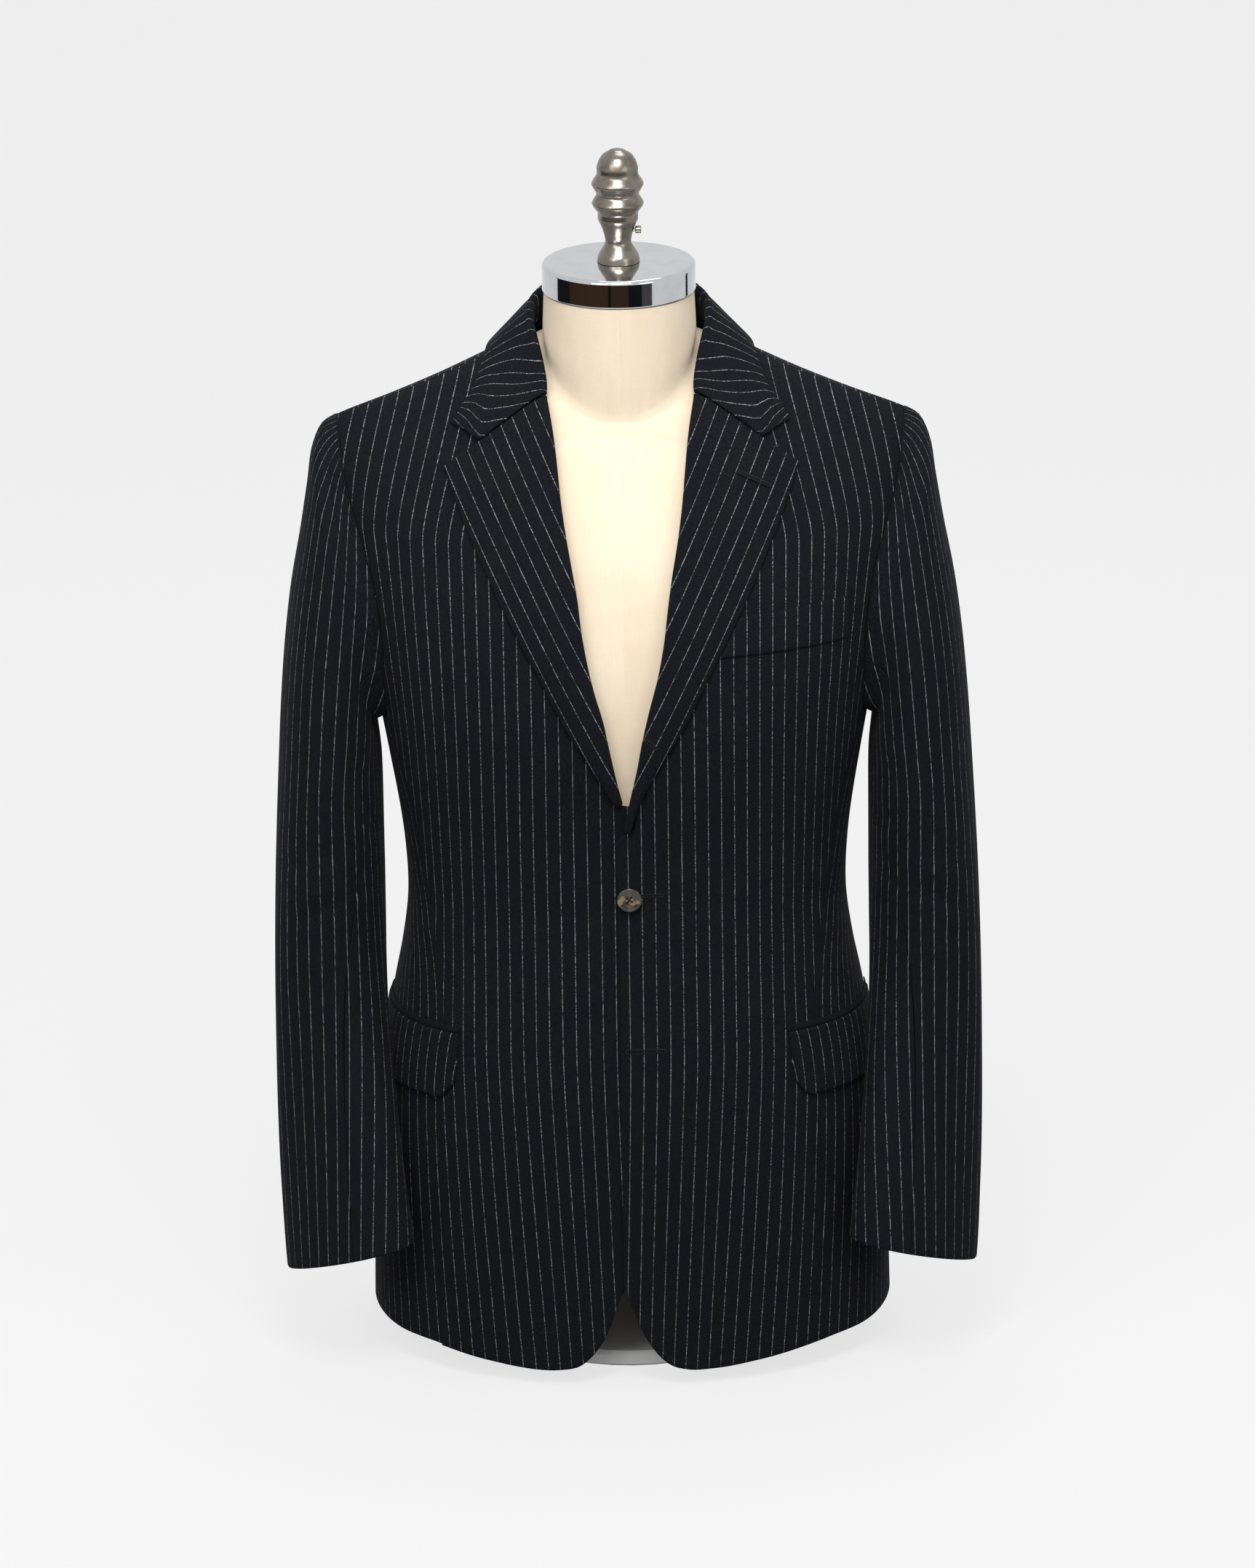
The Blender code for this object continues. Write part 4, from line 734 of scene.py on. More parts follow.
def yoke_spot(x, lift, side):
    """Point and normal on the yoke, upright at the shoulder seam."""
    inner = min(max(lift, 0.02), math.radians(88.5))
    normal = facing_out(lambda a, b: yoke(a, b, side), x, inner, np.array((0.0, side * 1.0, 0.6)))
    if lift > math.radians(88.5):
        slope = (SHOULDER(abs(x) + 1e-3)[0] - SHOULDER(abs(x) - 1e-3)[0]) / 2e-3
        normal = unit((-slope * math.copysign(1, x), 0.0, 1.0))
    return yoke(x, lift, side), normal


def angle_at(x, height, side=FRONT):
    """Angle of the torso section at x, on its front or its back."""
    ratio = min(1.0, abs(x) / GIRTH(height)[0])
    angle = math.asin(ratio ** (SQUARENESS / 2))
    if side == BACK:
        angle = math.pi - angle
    return math.copysign(angle, x)


def front_spot(x, height):
    """Point and normal of the jacket's front at x and a height."""
    if height <= CHEST_LEVEL:
        return torso_spot(angle_at(x, height), height)
    top = SHOULDER(abs(x))[0]
    lift = math.asin(min(1.0, (height - CHEST_LEVEL) / (top - CHEST_LEVEL)))
    return yoke_spot(x, lift, FRONT)


def top_spot(x, y):
    """Point and normal of the shoulders and upper back over x and y."""
    side = BACK if y > SHOULDER(abs(x))[1] else FRONT
    low, high = 0.0, math.pi / 2
    for _ in range(40):
        middle = (low + high) / 2
        if side * yoke(x, middle, side)[1] > side * y:
            low = middle
        else:
            high = middle
    return yoke_spot(x, low, side)


def underlap(x, height):
    """How far the right front lies inside the figure, under the left one."""
    return UNDERLAP * (1 - ease(0.470, 0.505, height)) * (1 - ease(0.020, 0.070, -x))


# Fine grids of cloth

def set_back(points, sides, distance=SEAM / 2):
    """Pull the named sides of a grid in, so that neighbours keep a seam's gap."""
    points = points.copy()
    if "first_row" in sides:
        points[0] += unit(points[1] - points[0]) * distance
    if "last_row" in sides:
        points[-1] += unit(points[-2] - points[-1]) * distance
    if "first_column" in sides:
        points[:, 0] += unit(points[:, 1] - points[:, 0]) * distance
    if "last_column" in sides:
        points[:, -1] += unit(points[:, -2] - points[:, -1]) * distance
    return points


def grid_of(spots):
    """Points and normals from a grid of (point, normal) pairs."""
    points = np.array([[spot[0] for spot in row] for row in spots])
    normals = np.array([[spot[1] for spot in row] for row in spots])
    return points, normals


def moved_out(spot, distance):
    """A spot moved along its normal."""
    return spot[0] + spot[1] * distance, spot[1]


def mirrored(points):
    """The other side's points."""
    return points * np.array((-1.0, 1.0, 1.0))


def curve_through(values, keys, at):
    """A smooth curve through values at the keys of their first axis, read at more places."""
    slopes = np.gradient(values, keys, axis=0)
    low = np.clip(np.searchsorted(keys, at, side="right") - 1, 0, len(keys) - 2)
    shape = (-1,) + (1,) * (values.ndim - 1)
    step = (keys[low + 1] - keys[low]).reshape(shape)
    t = (at - keys[low]).reshape(shape) / step
    bend = step * (t * (1 - t) ** 2 * slopes[low] - t * t * (1 - t) * slopes[low + 1])
    return values[low] + (values[low + 1] - values[low]) * t * t * (3 - 2 * t) + bend


def lengths_along(points, axis):
    """Length along a grid from its first row or column, row by row or column by column."""
    steps = np.linalg.norm(np.diff(points, axis=axis), axis=2)
    start = np.zeros_like(np.take(steps, [0], axis=axis))
    return np.concatenate((start, np.cumsum(steps, axis=axis)), axis=axis)


def way_along(line):
    """Length along a line of points at each of them."""
    return np.concatenate(([0.0], np.cumsum(np.linalg.norm(np.diff(line, axis=0), axis=1))))


def read_at(at, way, values):
    """The values at one length along a line."""
    return np.array([np.interp(at, way, column) for column in np.transpose(values)])


def even_places(keys, count):
    """The keys, with even places in each span; count gives their number from the span's length."""
    spans = [np.linspace(a, b, count(b - a), endpoint=False) for a, b in zip(keys, keys[1:])]
    return np.concatenate(spans + [keys[-1:]])


def fine_places(keys, pitch):
    """Even places through every key, and close ones where the cloth turns at its edges."""
    close = np.array((0.0007, 0.0015, TURNED_RIM))
    places = even_places(keys, lambda span: max(1, round(span / pitch)))
    places = np.unique(np.round(np.concatenate((places, keys[0] + close, keys[-1] - close)), 5))
    return places[np.concatenate(([True], np.diff(places) > 0.0004))]


def refined(points, others, pitch=FINE):
    """Fine grids through coarse ones, the points' own first, and each place's way in from the rim."""
    row_keys = lengths_along(points, 0).mean(axis=1)
    column_keys = lengths_along(points, 1).mean(axis=0)
    rows, columns = fine_places(row_keys, pitch), fine_places(column_keys, pitch)
    grids = []
    for grid in (points, *others):
        grid = curve_through(grid, row_keys, rows)
        grid = curve_through(grid.swapaxes(0, 1), column_keys, columns).swapaxes(0, 1)
        grids.append(grid)
    row_way = np.minimum(rows - rows[0], rows[-1] - rows)
    column_way = np.minimum(columns - columns[0], columns[-1] - columns)
    return grids, np.minimum(row_way[:, None], column_way[None, :])


def all_creases():
    """The left side's creases, and the right side's, which differ a little in place, length and depth."""
    chance = np.random.default_rng(11)
    creases = []
    for start, end, width, depth in CREASES:
        creases.append((np.array(start), np.array(end), width, depth))
        shift = np.array((0.0, 0.0, chance.uniform(-0.012, 0.012)))
        start, end = mirrored(np.array(start)) + shift, mirrored(np.array(end)) + shift
        end = start + (end - start) * chance.uniform(0.75, 1.15)
        creases.append((start, end, width * chance.uniform(0.85, 1.2), depth * chance.uniform(0.7, 1.15)))
    return creases


def crease_depth(points):
    """How far creases move each point out, or in, with their ends fading away."""
    moved = np.zeros(points.shape[:2])
    for start, end, width, depth in all_creases():
        along = end - start
        share = ((points - start) @ along / (along @ along)).clip(0.0, 1.0)
        away = np.linalg.norm(points - start - share[..., None] * along, axis=2)
        moved += depth * np.exp(-(away / width) ** 2) * (0.35 + 0.65 * np.sin(math.pi * share))
    return moved


def mesh_from(maker, name):
    """The mesh of a bmesh, with its faces turned outwards."""
    bmesh.ops.recalc_face_normals(maker, faces=maker.faces[:])
    mesh = bpy.data.meshes.new(name)
    maker.to_mesh(mesh)
    maker.free()
    return mesh


def laid_grid(points):
    """A grid moved to a grid of points; a layer keeps each vertex's place in it."""
    rows, columns = points.shape[:2]
    maker = bmesh.new()
    bmesh.ops.create_grid(maker, x_segments=columns - 1, y_segments=rows - 1, size=1.0)
    place = maker.verts.layers.int.new("place")
    for index, vert in enumerate(sorted(maker.verts, key=lambda v: (round(v.co.y, 5), round(v.co.x, 5)))):
        vert[place] = index
        vert.co = points[index // columns, index % columns]
    return maker, place


def give_lay(maker, place, lay):
    """Keep the lay as the UV map that the cloth's materials read."""
    columns = lay.shape[1]
    uv = maker.loops.layers.uv.new("lay")
    for face in maker.faces:
        for loop in face.loops:
            index = loop.vert[place]
            loop[uv].uv = lay[index // columns, index % columns]


def spun(name, profile, steps):
    """A mesh turned from (radius, height) pairs, closed on its axis."""
    maker = bmesh.new()
    verts = [maker.verts.new((r, 0.0, z)) for r, z in profile]
    edges = [maker.edges.new(pair) for pair in zip(verts, verts[1:])]
    bmesh.ops.spin(maker, geom=verts + edges, cent=(0, 0, 0), axis=(0, 0, 1), angle=2 * math.pi,
                   steps=steps, use_merge=True)
    bmesh.ops.remove_doubles(maker, verts=maker.verts[:], dist=1e-6)
    return mesh_from(maker, name)


def shell_mesh(outer, inner, lay):
    """A closed wall between two grids of points, with its inner side in the second material."""
    maker, place = laid_grid(outer)
    columns = outer.shape[1]
    inside = maker.verts.layers.int.new("inside")
    grown = bmesh.ops.extrude_face_region(maker, geom=maker.faces[:])
    for item in grown["geom"]:
        if isinstance(item, bmesh.types.BMVert):
            item[inside] = 1
            item.co = inner[item[place] // columns, item[place] % columns]
    for face in maker.faces:
        if all(vert[inside] for vert in face.verts):
            face.material_index = 1
    give_lay(maker, place, lay)
    return mesh_from(maker, "shell")


def piece(name, mesh, slot, *materials, replaces=()):
    """Put a mesh in the scene as a piece of the part."""
    made = bpy.data.objects.new(name, mesh)
    bpy.context.scene.collection.objects.link(made)
    for material in materials:
        mesh.materials.append(material)
    mesh.shade_smooth()
    mesh.set_sharp_from_angle(angle=math.radians(42))
    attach(made, "root")
    if replaces:
        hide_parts(*replaces)
    return made


def cloth_wall(name, points, normals, sides=(), thickness=CLOTH, lay=None):
    """One cut piece of cloth: fine, creased, rounded at its rim and lined."""
    others = (normals,) if callable(lay) else (normals, lay)
    (points, normals, *lays), way_in = refined(set_back(points, sides), others)
    normals = unit(normals)
    outer = points + normals * crease_depth(points)[..., None]
    rim = RIM_DROP * (1 - way_in / TURNED_RIM).clip(0.0, 1.0) ** 2
    inner = outer - normals * thickness
    outer = outer - normals * np.minimum(rim, thickness * 0.4)[..., None]
    mesh = shell_mesh(outer, inner, lay(points) if callable(lay) else lays[0])
    made = piece(name + "_cloth", mesh, FLANNEL_SLOT, FLANNEL, LINING, replaces=(name,))
    width, length = (max(lengths_along(points, axis).max(), 0.0101) for axis in (1, 0))
    return made


# How the stripes lie, as distances across and along them

def level_lengths(points):
    """Length round the body along each row, whatever its height."""
    return lengths_along(points * np.array((1.0, 1.0, 0.0)), 1)


def lay_of(across, points):
    """Stripe coordinates from the way across the stripes and the way down the piece."""
    return np.stack((across, lengths_along(points, 0)), axis=2)


def lean(away, height):
    """How far the fronts' stripes lean in to the centre, at the hem and towards the neck."""
    depth = ((HEM_LEAN_TOP - height) / HEM_LEAN_DROP).clip(0.0, None)
    low = depth ** 1.25 * (0.006 + 0.13 * away.clip(0.0, HEM_LEAN_REACH))
    high = 0.30 * (np.hypot((height - NECK_LEAN_FOOT).clip(0.0, None), 0.012) - 0.012)
    return low + high


def front_lay(hand):
    """Stripes of a front or the welt: round the body from the centre."""
    def lay(points):
        away = hand * points[:, :1, 0] + level_lengths(points)
        return lay_of(hand * (away + lean(away, points[..., 2])), points)
    return lay


def side_lay(hand):
    """Stripes of a side body, on from the front's."""
    def lay(points):
        away = SIDE_START + level_lengths(points)
        return lay_of(hand * (away + lean(away, points[..., 2])), points)
    return lay


def back_lay(hand):
    """Stripes of a back, straight down from the neck and even about the centre seam."""
    def lay(points):
        lengths = level_lengths(points)
        if points[0, 0, 0] * hand > points[0, -1, 0] * hand:
            away = hand * points[:, -1:, 0] + lengths[:, -1:] - lengths
        else:
            away = hand * points[:, :1, 0] + lengths
        return lay_of(hand * away + STRIPE_START + STRIPE_PITCH / 2, points)
    return lay


def lapel_lay(hand):
    """Stripes of a lapel, parallel to its outer edge, with one close by it."""
    low, high = np.array(LAPEL_LINE)
    along = unit(high - low)

    def lay(points):
        flat = np.stack((hand * points[..., 0], points[..., 2]), axis=2) - low
        inwards = flat @ np.array((-along[1], along[0]))
        tip = LAPEL_TIP_SHIFT * (1 - ease(*LAPEL_TIP_LEVELS, points[..., 2]))
        across = hand * (inwards - LAPEL_FIRST_STRIPE + tip) + STRIPE_START
        return np.stack((across, flat @ along), axis=2)
    return lay


def collar_lay(points):
    """Stripes of the collar, square to its length at the back and nearly level at its front ends."""
    length = lengths_along(points, 0)[:, -points.shape[1] // 3:].mean(axis=1)
    across = (length - length[-1] / 2)[:, None]
    down = lengths_along(points, 1)
    over_fold = np.take_along_axis(down, points[..., 2].argmax(axis=1)[:, None], axis=1)
    front = ease(0.35, 0.95, abs(across) / (length[-1] / 2))
    across = across + np.sign(across) * (down - over_fold).clip(0.0, None) * COLLAR_TILT * front
    return np.stack((across + STRIPE_START, down), axis=2)


def sleeve_lay(rings, hand):
    """Stripes of a whole sleeve: round its rings from the outer line, and straight up over its head."""
    turns = np.linspace(0, 2 * math.pi, 361)
    section = np.stack((ARM_HALF_WIDTH * np.cos(turns), ARM_HALF_DEPTH * np.sin(turns)), axis=1)
    section_way = way_along(section)
    count = rings.shape[1]
    lengths = lengths_along(np.concatenate((rings, rings[:, :1]), axis=1), 1)
    down = lengths_along(rings, 0)
    lay = np.zeros((len(rings), count + 1, 2))
    front = range(2, FRONT_SEAM + 2)
    front_angle = math.acos((ARM_FRONT_X - ARM_LINE(ARM_FRONT_LEVEL)[0]) / ARM_HALF_WIDTH + 1)
    front_way = np.interp(front_angle, turns, section_way)
    for i, number in np.ndindex(lay.shape[:2]):
        turn = number + BACK_SEAM - count
        x, y, height = rings[i, turn % count]
        line_x, line_y = ARM_LINE(height)
        angle = math.atan2((line_y - y) / ARM_HALF_DEPTH, (hand * x - line_x) / ARM_HALF_WIDTH + 1)
        if abs(turn) > 2 and angle * turn < 0:
            angle += math.copysign(2 * math.pi, turn)
        own_front = np.interp(-ARM_FRONT_X, -hand * rings[i, front, 0], lengths[i, front])
        round_ring = lengths[i, turn % count] - own_front + front_way
        if turn < 0:
            round_ring -= lengths[i, count]
        over_head = math.copysign(np.interp(abs(angle), turns, section_way), angle)
        across = round_ring + (over_head - round_ring) * ease(*HEAD_LEVELS, height)
        lay[i, number] = hand * across + STRIPE_START, down[i, turn % count]
    return lay


def flap_lay(hand):
    """Stripes of a flap, parallel to its slanting front edge."""
    slant = math.tan(math.radians(FLAP_SLANT))

    def lay(points):
        away = hand * points[:1, :1, 0] * 1.04 + lengths_along(points, 1)
        return lay_of(hand * (away - slant * lengths_along(points, 0)), points)
    return lay


def plain_lay(points):
    """Cloth that shows no stripe, as on the narrow jets."""
    return lay_of(np.full(points.shape[:2], STRIPE_START + STRIPE_PITCH / 2), points)


# The body panels

def side_hem(angle):
    """Height of the hem from the front seam round to the back centre."""
    return 0.0240 + 0.0030 * math.sin(angle)


def row_height(level, hem):
    """Height of a row: the hem's own curve at the foot, level rows above it."""
    return level + hem * max(0.0, 1 - level / 0.26)


def front_hem(x, hand):
    """Height of the front hem, rounded away at the centre; hand is 1 for the wearer's left."""
    return FRONT_HEM(hand * (x - CENTRE_X))


def fold_room(height, hand):
    """How far the front's cut edge lies behind the rolled edge of its lapel."""
    return FOLD_ROOM * ease(*EDGE_STEP[hand], height)


def front_edge(height, hand):
    """Distance of a front's cut edge from the centre, on its own side."""
    rolled = ROLL_LINE(height) + fold_room(height, hand)
    if hand > 0:
        return rolled if height > ROLL_LINE.keys[0] else EDGE_X
    return UNDER_EDGE + (rolled - UNDER_EDGE) * ease(*EDGE_STEP[hand], height)


def yoke_lift(row, side):
    """Lift of a row above the chest; on the back the rows spread where the surface turns."""
    return math.pi / 2 * (row / YOKE_ROWS) ** (1 / RISE[side])


def armhole_x(lift, side):
    """Half width of the armhole's edge at a lift."""
    x = ARMHOLE(CHEST_LEVEL)
    for _ in range(8):
        x = ARMHOLE(yoke(x, lift, side)[2])
    return x


def front_panel(name, hand):
    """A front: rounded hem, cut edge under the lapel, armhole and shoulder seam."""
    share = [(i / (FRONT_COLUMNS - 1)) ** 1.2 for i in range(FRONT_COLUMNS)]
    spots = []
    for level in LEVELS:
        row = []
        height = row_height(level, front_hem(hand * 0.10, hand))
        for s in share:
            for _ in range(3):
                start = angle_at(front_edge(height, hand), height)
                end = angle_at(SIDE_SEAMS(height)[0], height)
                x = torso(start + (end - start) * s, height)[0]
                height = row_height(level, front_hem(hand * x, hand))
            row.append(front_spot(x, height))
        spots.append(row)
    base_x = [spot[0][0] for spot in spots[-1]]
    share_x = [(x - base_x[0]) / (base_x[-1] - base_x[0]) for x in base_x]
    for j in range(1, YOKE_ROWS + 1):
        lift = yoke_lift(j, FRONT)
        near = base_x[0]
        for _ in range(8):
            near = front_edge(yoke(near, lift, FRONT)[2], 1)
        far = armhole_x(lift, FRONT)
        spots.append([yoke_spot(near + (far - near) * s, lift, FRONT) for s in share_x])
    points, normals = grid_of(spots)
    if hand < 0:
        points, normals = mirrored(points), mirrored(normals)
        for i, j in np.ndindex(points.shape[:2]):
            points[i, j] -= normals[i, j] * underlap(points[i, j, 0], points[i, j, 2])
    low = len(LEVELS)
    trimmed = points.copy()
    trimmed[:low] = set_back(points[:low], ("last_column",))
    return cloth_wall(name, trimmed, normals, ("last_row",), lay=front_lay(hand))


def side_panel(name, hand):
    """A side body from the hem to the foot of the armhole."""
    spots = []
    for level in LEVELS:
        height = row_height(level, side_hem(0.0))
        for _ in range(4):
            front_angle = angle_at(SIDE_SEAMS(height)[0], height)
            height = row_height(level, front_hem(SIDE_SEAMS(height)[0], 1))
        first = height
        height = row_height(level, side_hem(math.pi / 2))
        back_angle = angle_at(SIDE_SEAMS(height)[1], height, BACK)
        last = row_height(level, side_hem(back_angle))
        row = []
        for s in np.linspace(0, 1, SIDE_COLUMNS):
            row.append(torso_spot(front_angle + (back_angle - front_angle) * s, first + (last - first) * s))
        spots.append(row)
    points, normals = grid_of(spots)
    if hand < 0:
        points, normals = mirrored(points), mirrored(normals)
    return cloth_wall(name, points, normals, ("first_column", "last_column"), lay=side_lay(hand))


def back_panel(name, hand):
    """A back: side seam to the centre seam, with the vent's lap below, up to the shoulder seam."""
    spots = []
    for level in LEVELS:
        height = row_height(level, side_hem(math.pi / 2))
        start = angle_at(SIDE_SEAMS(height)[1], height, BACK)
        height = row_height(level, side_hem(start))
        lap = 0.0
        if hand < 0:
            lap = VENT_LAP * (1 - ease(VENT_TOP - 0.03, VENT_TOP, height))
        end = math.pi + (math.pi - angle_at(lap, height, BACK))
        spots.append([torso_spot(start + (end - start) * s, height) for s in np.linspace(0, 1, BACK_COLUMNS)])
    base_x = [spot[0][0] for spot in spots[-1]]
    share_x = [x / base_x[0] for x in base_x]
    for j in range(1, YOKE_ROWS + 1):
        lift = yoke_lift(j, BACK)
        near = back_neck(math.degrees(lift))
        far = armhole_x(lift, BACK)
        spots.append([yoke_spot(near + (far - near) * s, lift, BACK) for s in share_x])
    points, normals = grid_of(spots)
    if hand < 0:
        points, normals = mirrored(points), mirrored(normals)
        for i, j in np.ndindex(points.shape[:2]):
            x, height = points[i, j, 0], points[i, j, 2]
            depth = UNDERLAP * (1 - ease(VENT_TOP, VENT_TOP + 0.05, height))
            if points[i, j, 1] > 0:
                points[i, j] -= normals[i, j] * depth * (1 - ease(0.0, 0.05, -x))
    low = len(LEVELS)
    trimmed = points.copy()
    trimmed[:low] = set_back(points[:low], ("first_column",))
    trimmed = set_back(trimmed, ("last_column",))
    return cloth_wall(name, trimmed, normals, ("last_row",), lay=back_lay(hand))


# Lapels and collar

def turned_edge(fold_point, rise, out):
    """Points round a fold: the cut end inside, then half a circle to the outer face."""
    middle = fold_point - rise * FOLD
    points = []
    for turn in (-90, -45, 0, 45, 90):
        turn = math.radians(turn)
        points.append(middle + rise * FOLD * math.cos(turn) + out * (FOLD_OFF + FOLD * math.sin(turn)))
    return points


def sheet_normals(points):
    """Normals of a grid of points, from its neighbours."""
    along = np.gradient(points, axis=1)
    up = np.gradient(points, axis=0)
    return unit(np.cross(along, up))


def hand_spot(x, height, hand):
    """Spot on one front, with the right front's underlap, from a distance on its own side."""
    point, normal = front_spot(x, height)
    if hand < 0:
        point, normal = mirrored(point), mirrored(normal)
        point = point - normal * underlap(point[0], point[2])
    return point, normal


def roll_frame(height, hand):
    """The rolled edge at a height: its point, the way to the opening, and the way out."""
    here, out = hand_spot(ROLL_LINE(height), height, hand)
    above = hand_spot(ROLL_LINE(height + 0.004), height + 0.004, hand)[0]
    below = hand_spot(ROLL_LINE(height - 0.004), height - 0.004, hand)[0]
    rise = unit(np.cross(unit(above - below), out))
    if rise[0] * hand > 0:
        rise = -rise
    return here, rise, out


def lapel(name, hand):
    """A lapel: the facing turned over at the roll line and lying on the front."""
    foot = LAPEL_FOOT[hand]
    grid = []
    for v in np.linspace(0, 1, LAPEL_ROWS):
        fold_height = foot + (GORGE_TOP - foot) * v
        edge_height = foot + (LAPEL_CORNER[1] - foot) * v
        fold_point, rise, out = roll_frame(fold_height, hand)
        row = turned_edge(fold_point, rise, out)
        start_x = ROLL_LINE(fold_height) + FOLD
        end_x = max(LAPEL_EDGE(edge_height), start_x + FOLD_OFF)
        for s in np.linspace(0, 1, LAPEL_COLUMNS + 1)[1:]:
            x = start_x + (end_x - start_x) * s
            height = fold_height + (edge_height - fold_height) * s
            bulge = LAPEL_BULGE * math.sin(math.pi * s) * math.sin(math.pi * min(1.0, v * 1.3 + 0.1))
            lift = LAPEL_SPRING + (TURNED_CLOTH + LAID - LAPEL_SPRING) * ease(0, 0.7, s) + bulge
            row.append(moved_out(hand_spot(x, height, hand), lift)[0])
        grid.append(row)
    points = np.array(grid)
    normals = sheet_normals(points)
    if normals[LAPEL_ROWS // 2, -2, 1] > 0:
        normals = -normals
    return cloth_wall(name, points, normals, ("last_row",), TURNED_CLOTH, lapel_lay(hand))


def neck_frame(along):
    """Neck seam, way up and way out, from the gorge, 0, round to the back centre, 1."""
    if along <= SHOULDER_SHARE:
        _, first_rise, first_out = roll_frame(GORGE_TOP, 1)
        t = along / SHOULDER_SHARE
        top_x = back_neck(90.0)
        top = SHOULDER(top_x)[0]
        height = GORGE_TOP + (top - GORGE_TOP) * t
        x = ROLL_LINE(GORGE_TOP) + FOLD_ROOM
        x = x + (top_x - x) * ease(0, 1.3, t)
        seam, _ = front_spot(x, min(height, SHOULDER(x)[0]))
        side_out = unit((1.0, -0.10, 0.10))
        side_rise = unit((-COLLAR_LEAN, -0.05, 1.0))
        turn = ease(0.0, 1.0, t)
        out = unit(first_out + (side_out - first_out) * turn)
        rise = unit(first_rise + (side_rise - first_rise) * turn)
        return seam, unit(rise - out * (rise @ out)), out
    t = (along - SHOULDER_SHARE) / (1 - SHOULDER_SHARE)
    lift = 90.0 - (90.0 - BACK_NECK_LIFT) * (1 - (1 - t) ** 1.6)
    x = back_neck(lift) if t < 1 else 0.0
    seam = yoke(x, math.radians(lift), BACK)
    out = unit((math.cos(t * math.pi / 2), math.sin(t * math.pi / 2) - 0.10 * (1 - t), 0.10))
    rise = unit(np.array((0.0, 0.0, 1.0)) - out * COLLAR_LEAN)
    return seam, unit(rise - out * (rise @ out)), out


def over_shoulder(point, distance):
    """A point, lifted where it lies nearer to the shoulders than a distance."""
    spot, normal = top_spot(point[0], point[1])
    floor = spot[2] + distance / max(normal[2], 0.45)
    gap = point[2] - floor
    return np.array((point[0], point[1], floor + (gap + math.hypot(gap, COLLAR_SOFTNESS)) / 2))


def collar():
    """Stand and leaf in one, folded round the neck from gorge to gorge."""
    notch = moved_out(front_spot(*GORGE_NOTCH), COLLAR_LIFT)[0]
    grid = []
    for i, along in enumerate(np.linspace(0, 1, COLLAR_ROWS)):
        seam, rise, out = neck_frame(along)
        fold_point = seam + rise * COLLAR_RISE(along)
        turned = turned_edge(fold_point, rise, out)
        foot = seam + rise * COLLAR_FOOT - out * (TURNED_CLOTH + SEAM)
        row = [foot] + turned
        if along <= SHOULDER_SHARE:
            x, height = COLLAR_LEAF(along / SHOULDER_SHARE)
            edge = moved_out(front_spot(x, min(height, SHOULDER(x)[0])), COLLAR_LIFT)[0]
        else:
            x, y = COLLAR_BACK((along - SHOULDER_SHARE) / (1 - SHOULDER_SHARE))
            edge = moved_out(top_spot(x, y), COLLAR_LIFT)[0]
        bend = max(0.0, 1 - i / 2)
        for s in np.linspace(0, 1, COLLAR_COLUMNS + 1)[1:]:
            straight = turned[-1] + (edge - turned[-1]) * s
            if s <= NOTCH_SHARE:
                kinked = turned[-1] + (notch - turned[-1]) * s / NOTCH_SHARE
            else:
                kinked = notch + (edge - notch) * (s - NOTCH_SHARE) / (1 - NOTCH_SHARE)
            point = straight + (kinked - straight) * bend
            row.append(over_shoulder(point, COLLAR_LIFT) if s < 1 else point)
        grid.append(row)
    side = np.array(grid)
    both = np.concatenate((side[:-1], mirrored(side)[::-1]))
    normals = sheet_normals(both)
    if normals[COLLAR_ROWS - 1, -2, 1] < 0:
        normals = -normals
    return cloth_wall("collar", both, normals, ("first_row", "last_row"), TURNED_CLOTH, collar_lay)


# Sleeves

def armhole_edge():
    """The panels' own points round the armhole: down the front, under the arm and up the back."""
    edge = []
    for row in range(YOKE_ROWS, -1, -1):
        lift = yoke_lift(row, FRONT)
        edge.append(yoke(armhole_x(lift, FRONT), lift, FRONT))
    first = angle_at(SIDE_SEAMS(CHEST_LEVEL)[0], CHEST_LEVEL)
    last = angle_at(SIDE_SEAMS(CHEST_LEVEL)[1], CHEST_LEVEL, BACK)
    for s in np.linspace(0, 1, SIDE_COLUMNS)[1:-1]:
        edge.append(torso(first + (last - first) * s, CHEST_LEVEL))
    for row in range(YOKE_ROWS):
        lift = yoke_lift(row, BACK)
        edge.append(yoke(armhole_x(lift, BACK), lift, BACK))
    return np.array(edge)


def lengths_round(loop):
    """Length along a closed loop at each of its points, and once more at its start."""
    return way_along(np.vstack((loop, loop[:1])))


def points_round(loop, shares):
    """Points at given shares of the length of a closed loop."""
    lengths = lengths_round(loop)
    closed = np.vstack((loop, loop[:1]))
    at = np.asarray(shares) * lengths[-1]
    return np.stack([np.interp(at, lengths, closed[:, k]) for k in range(3)], axis=1)


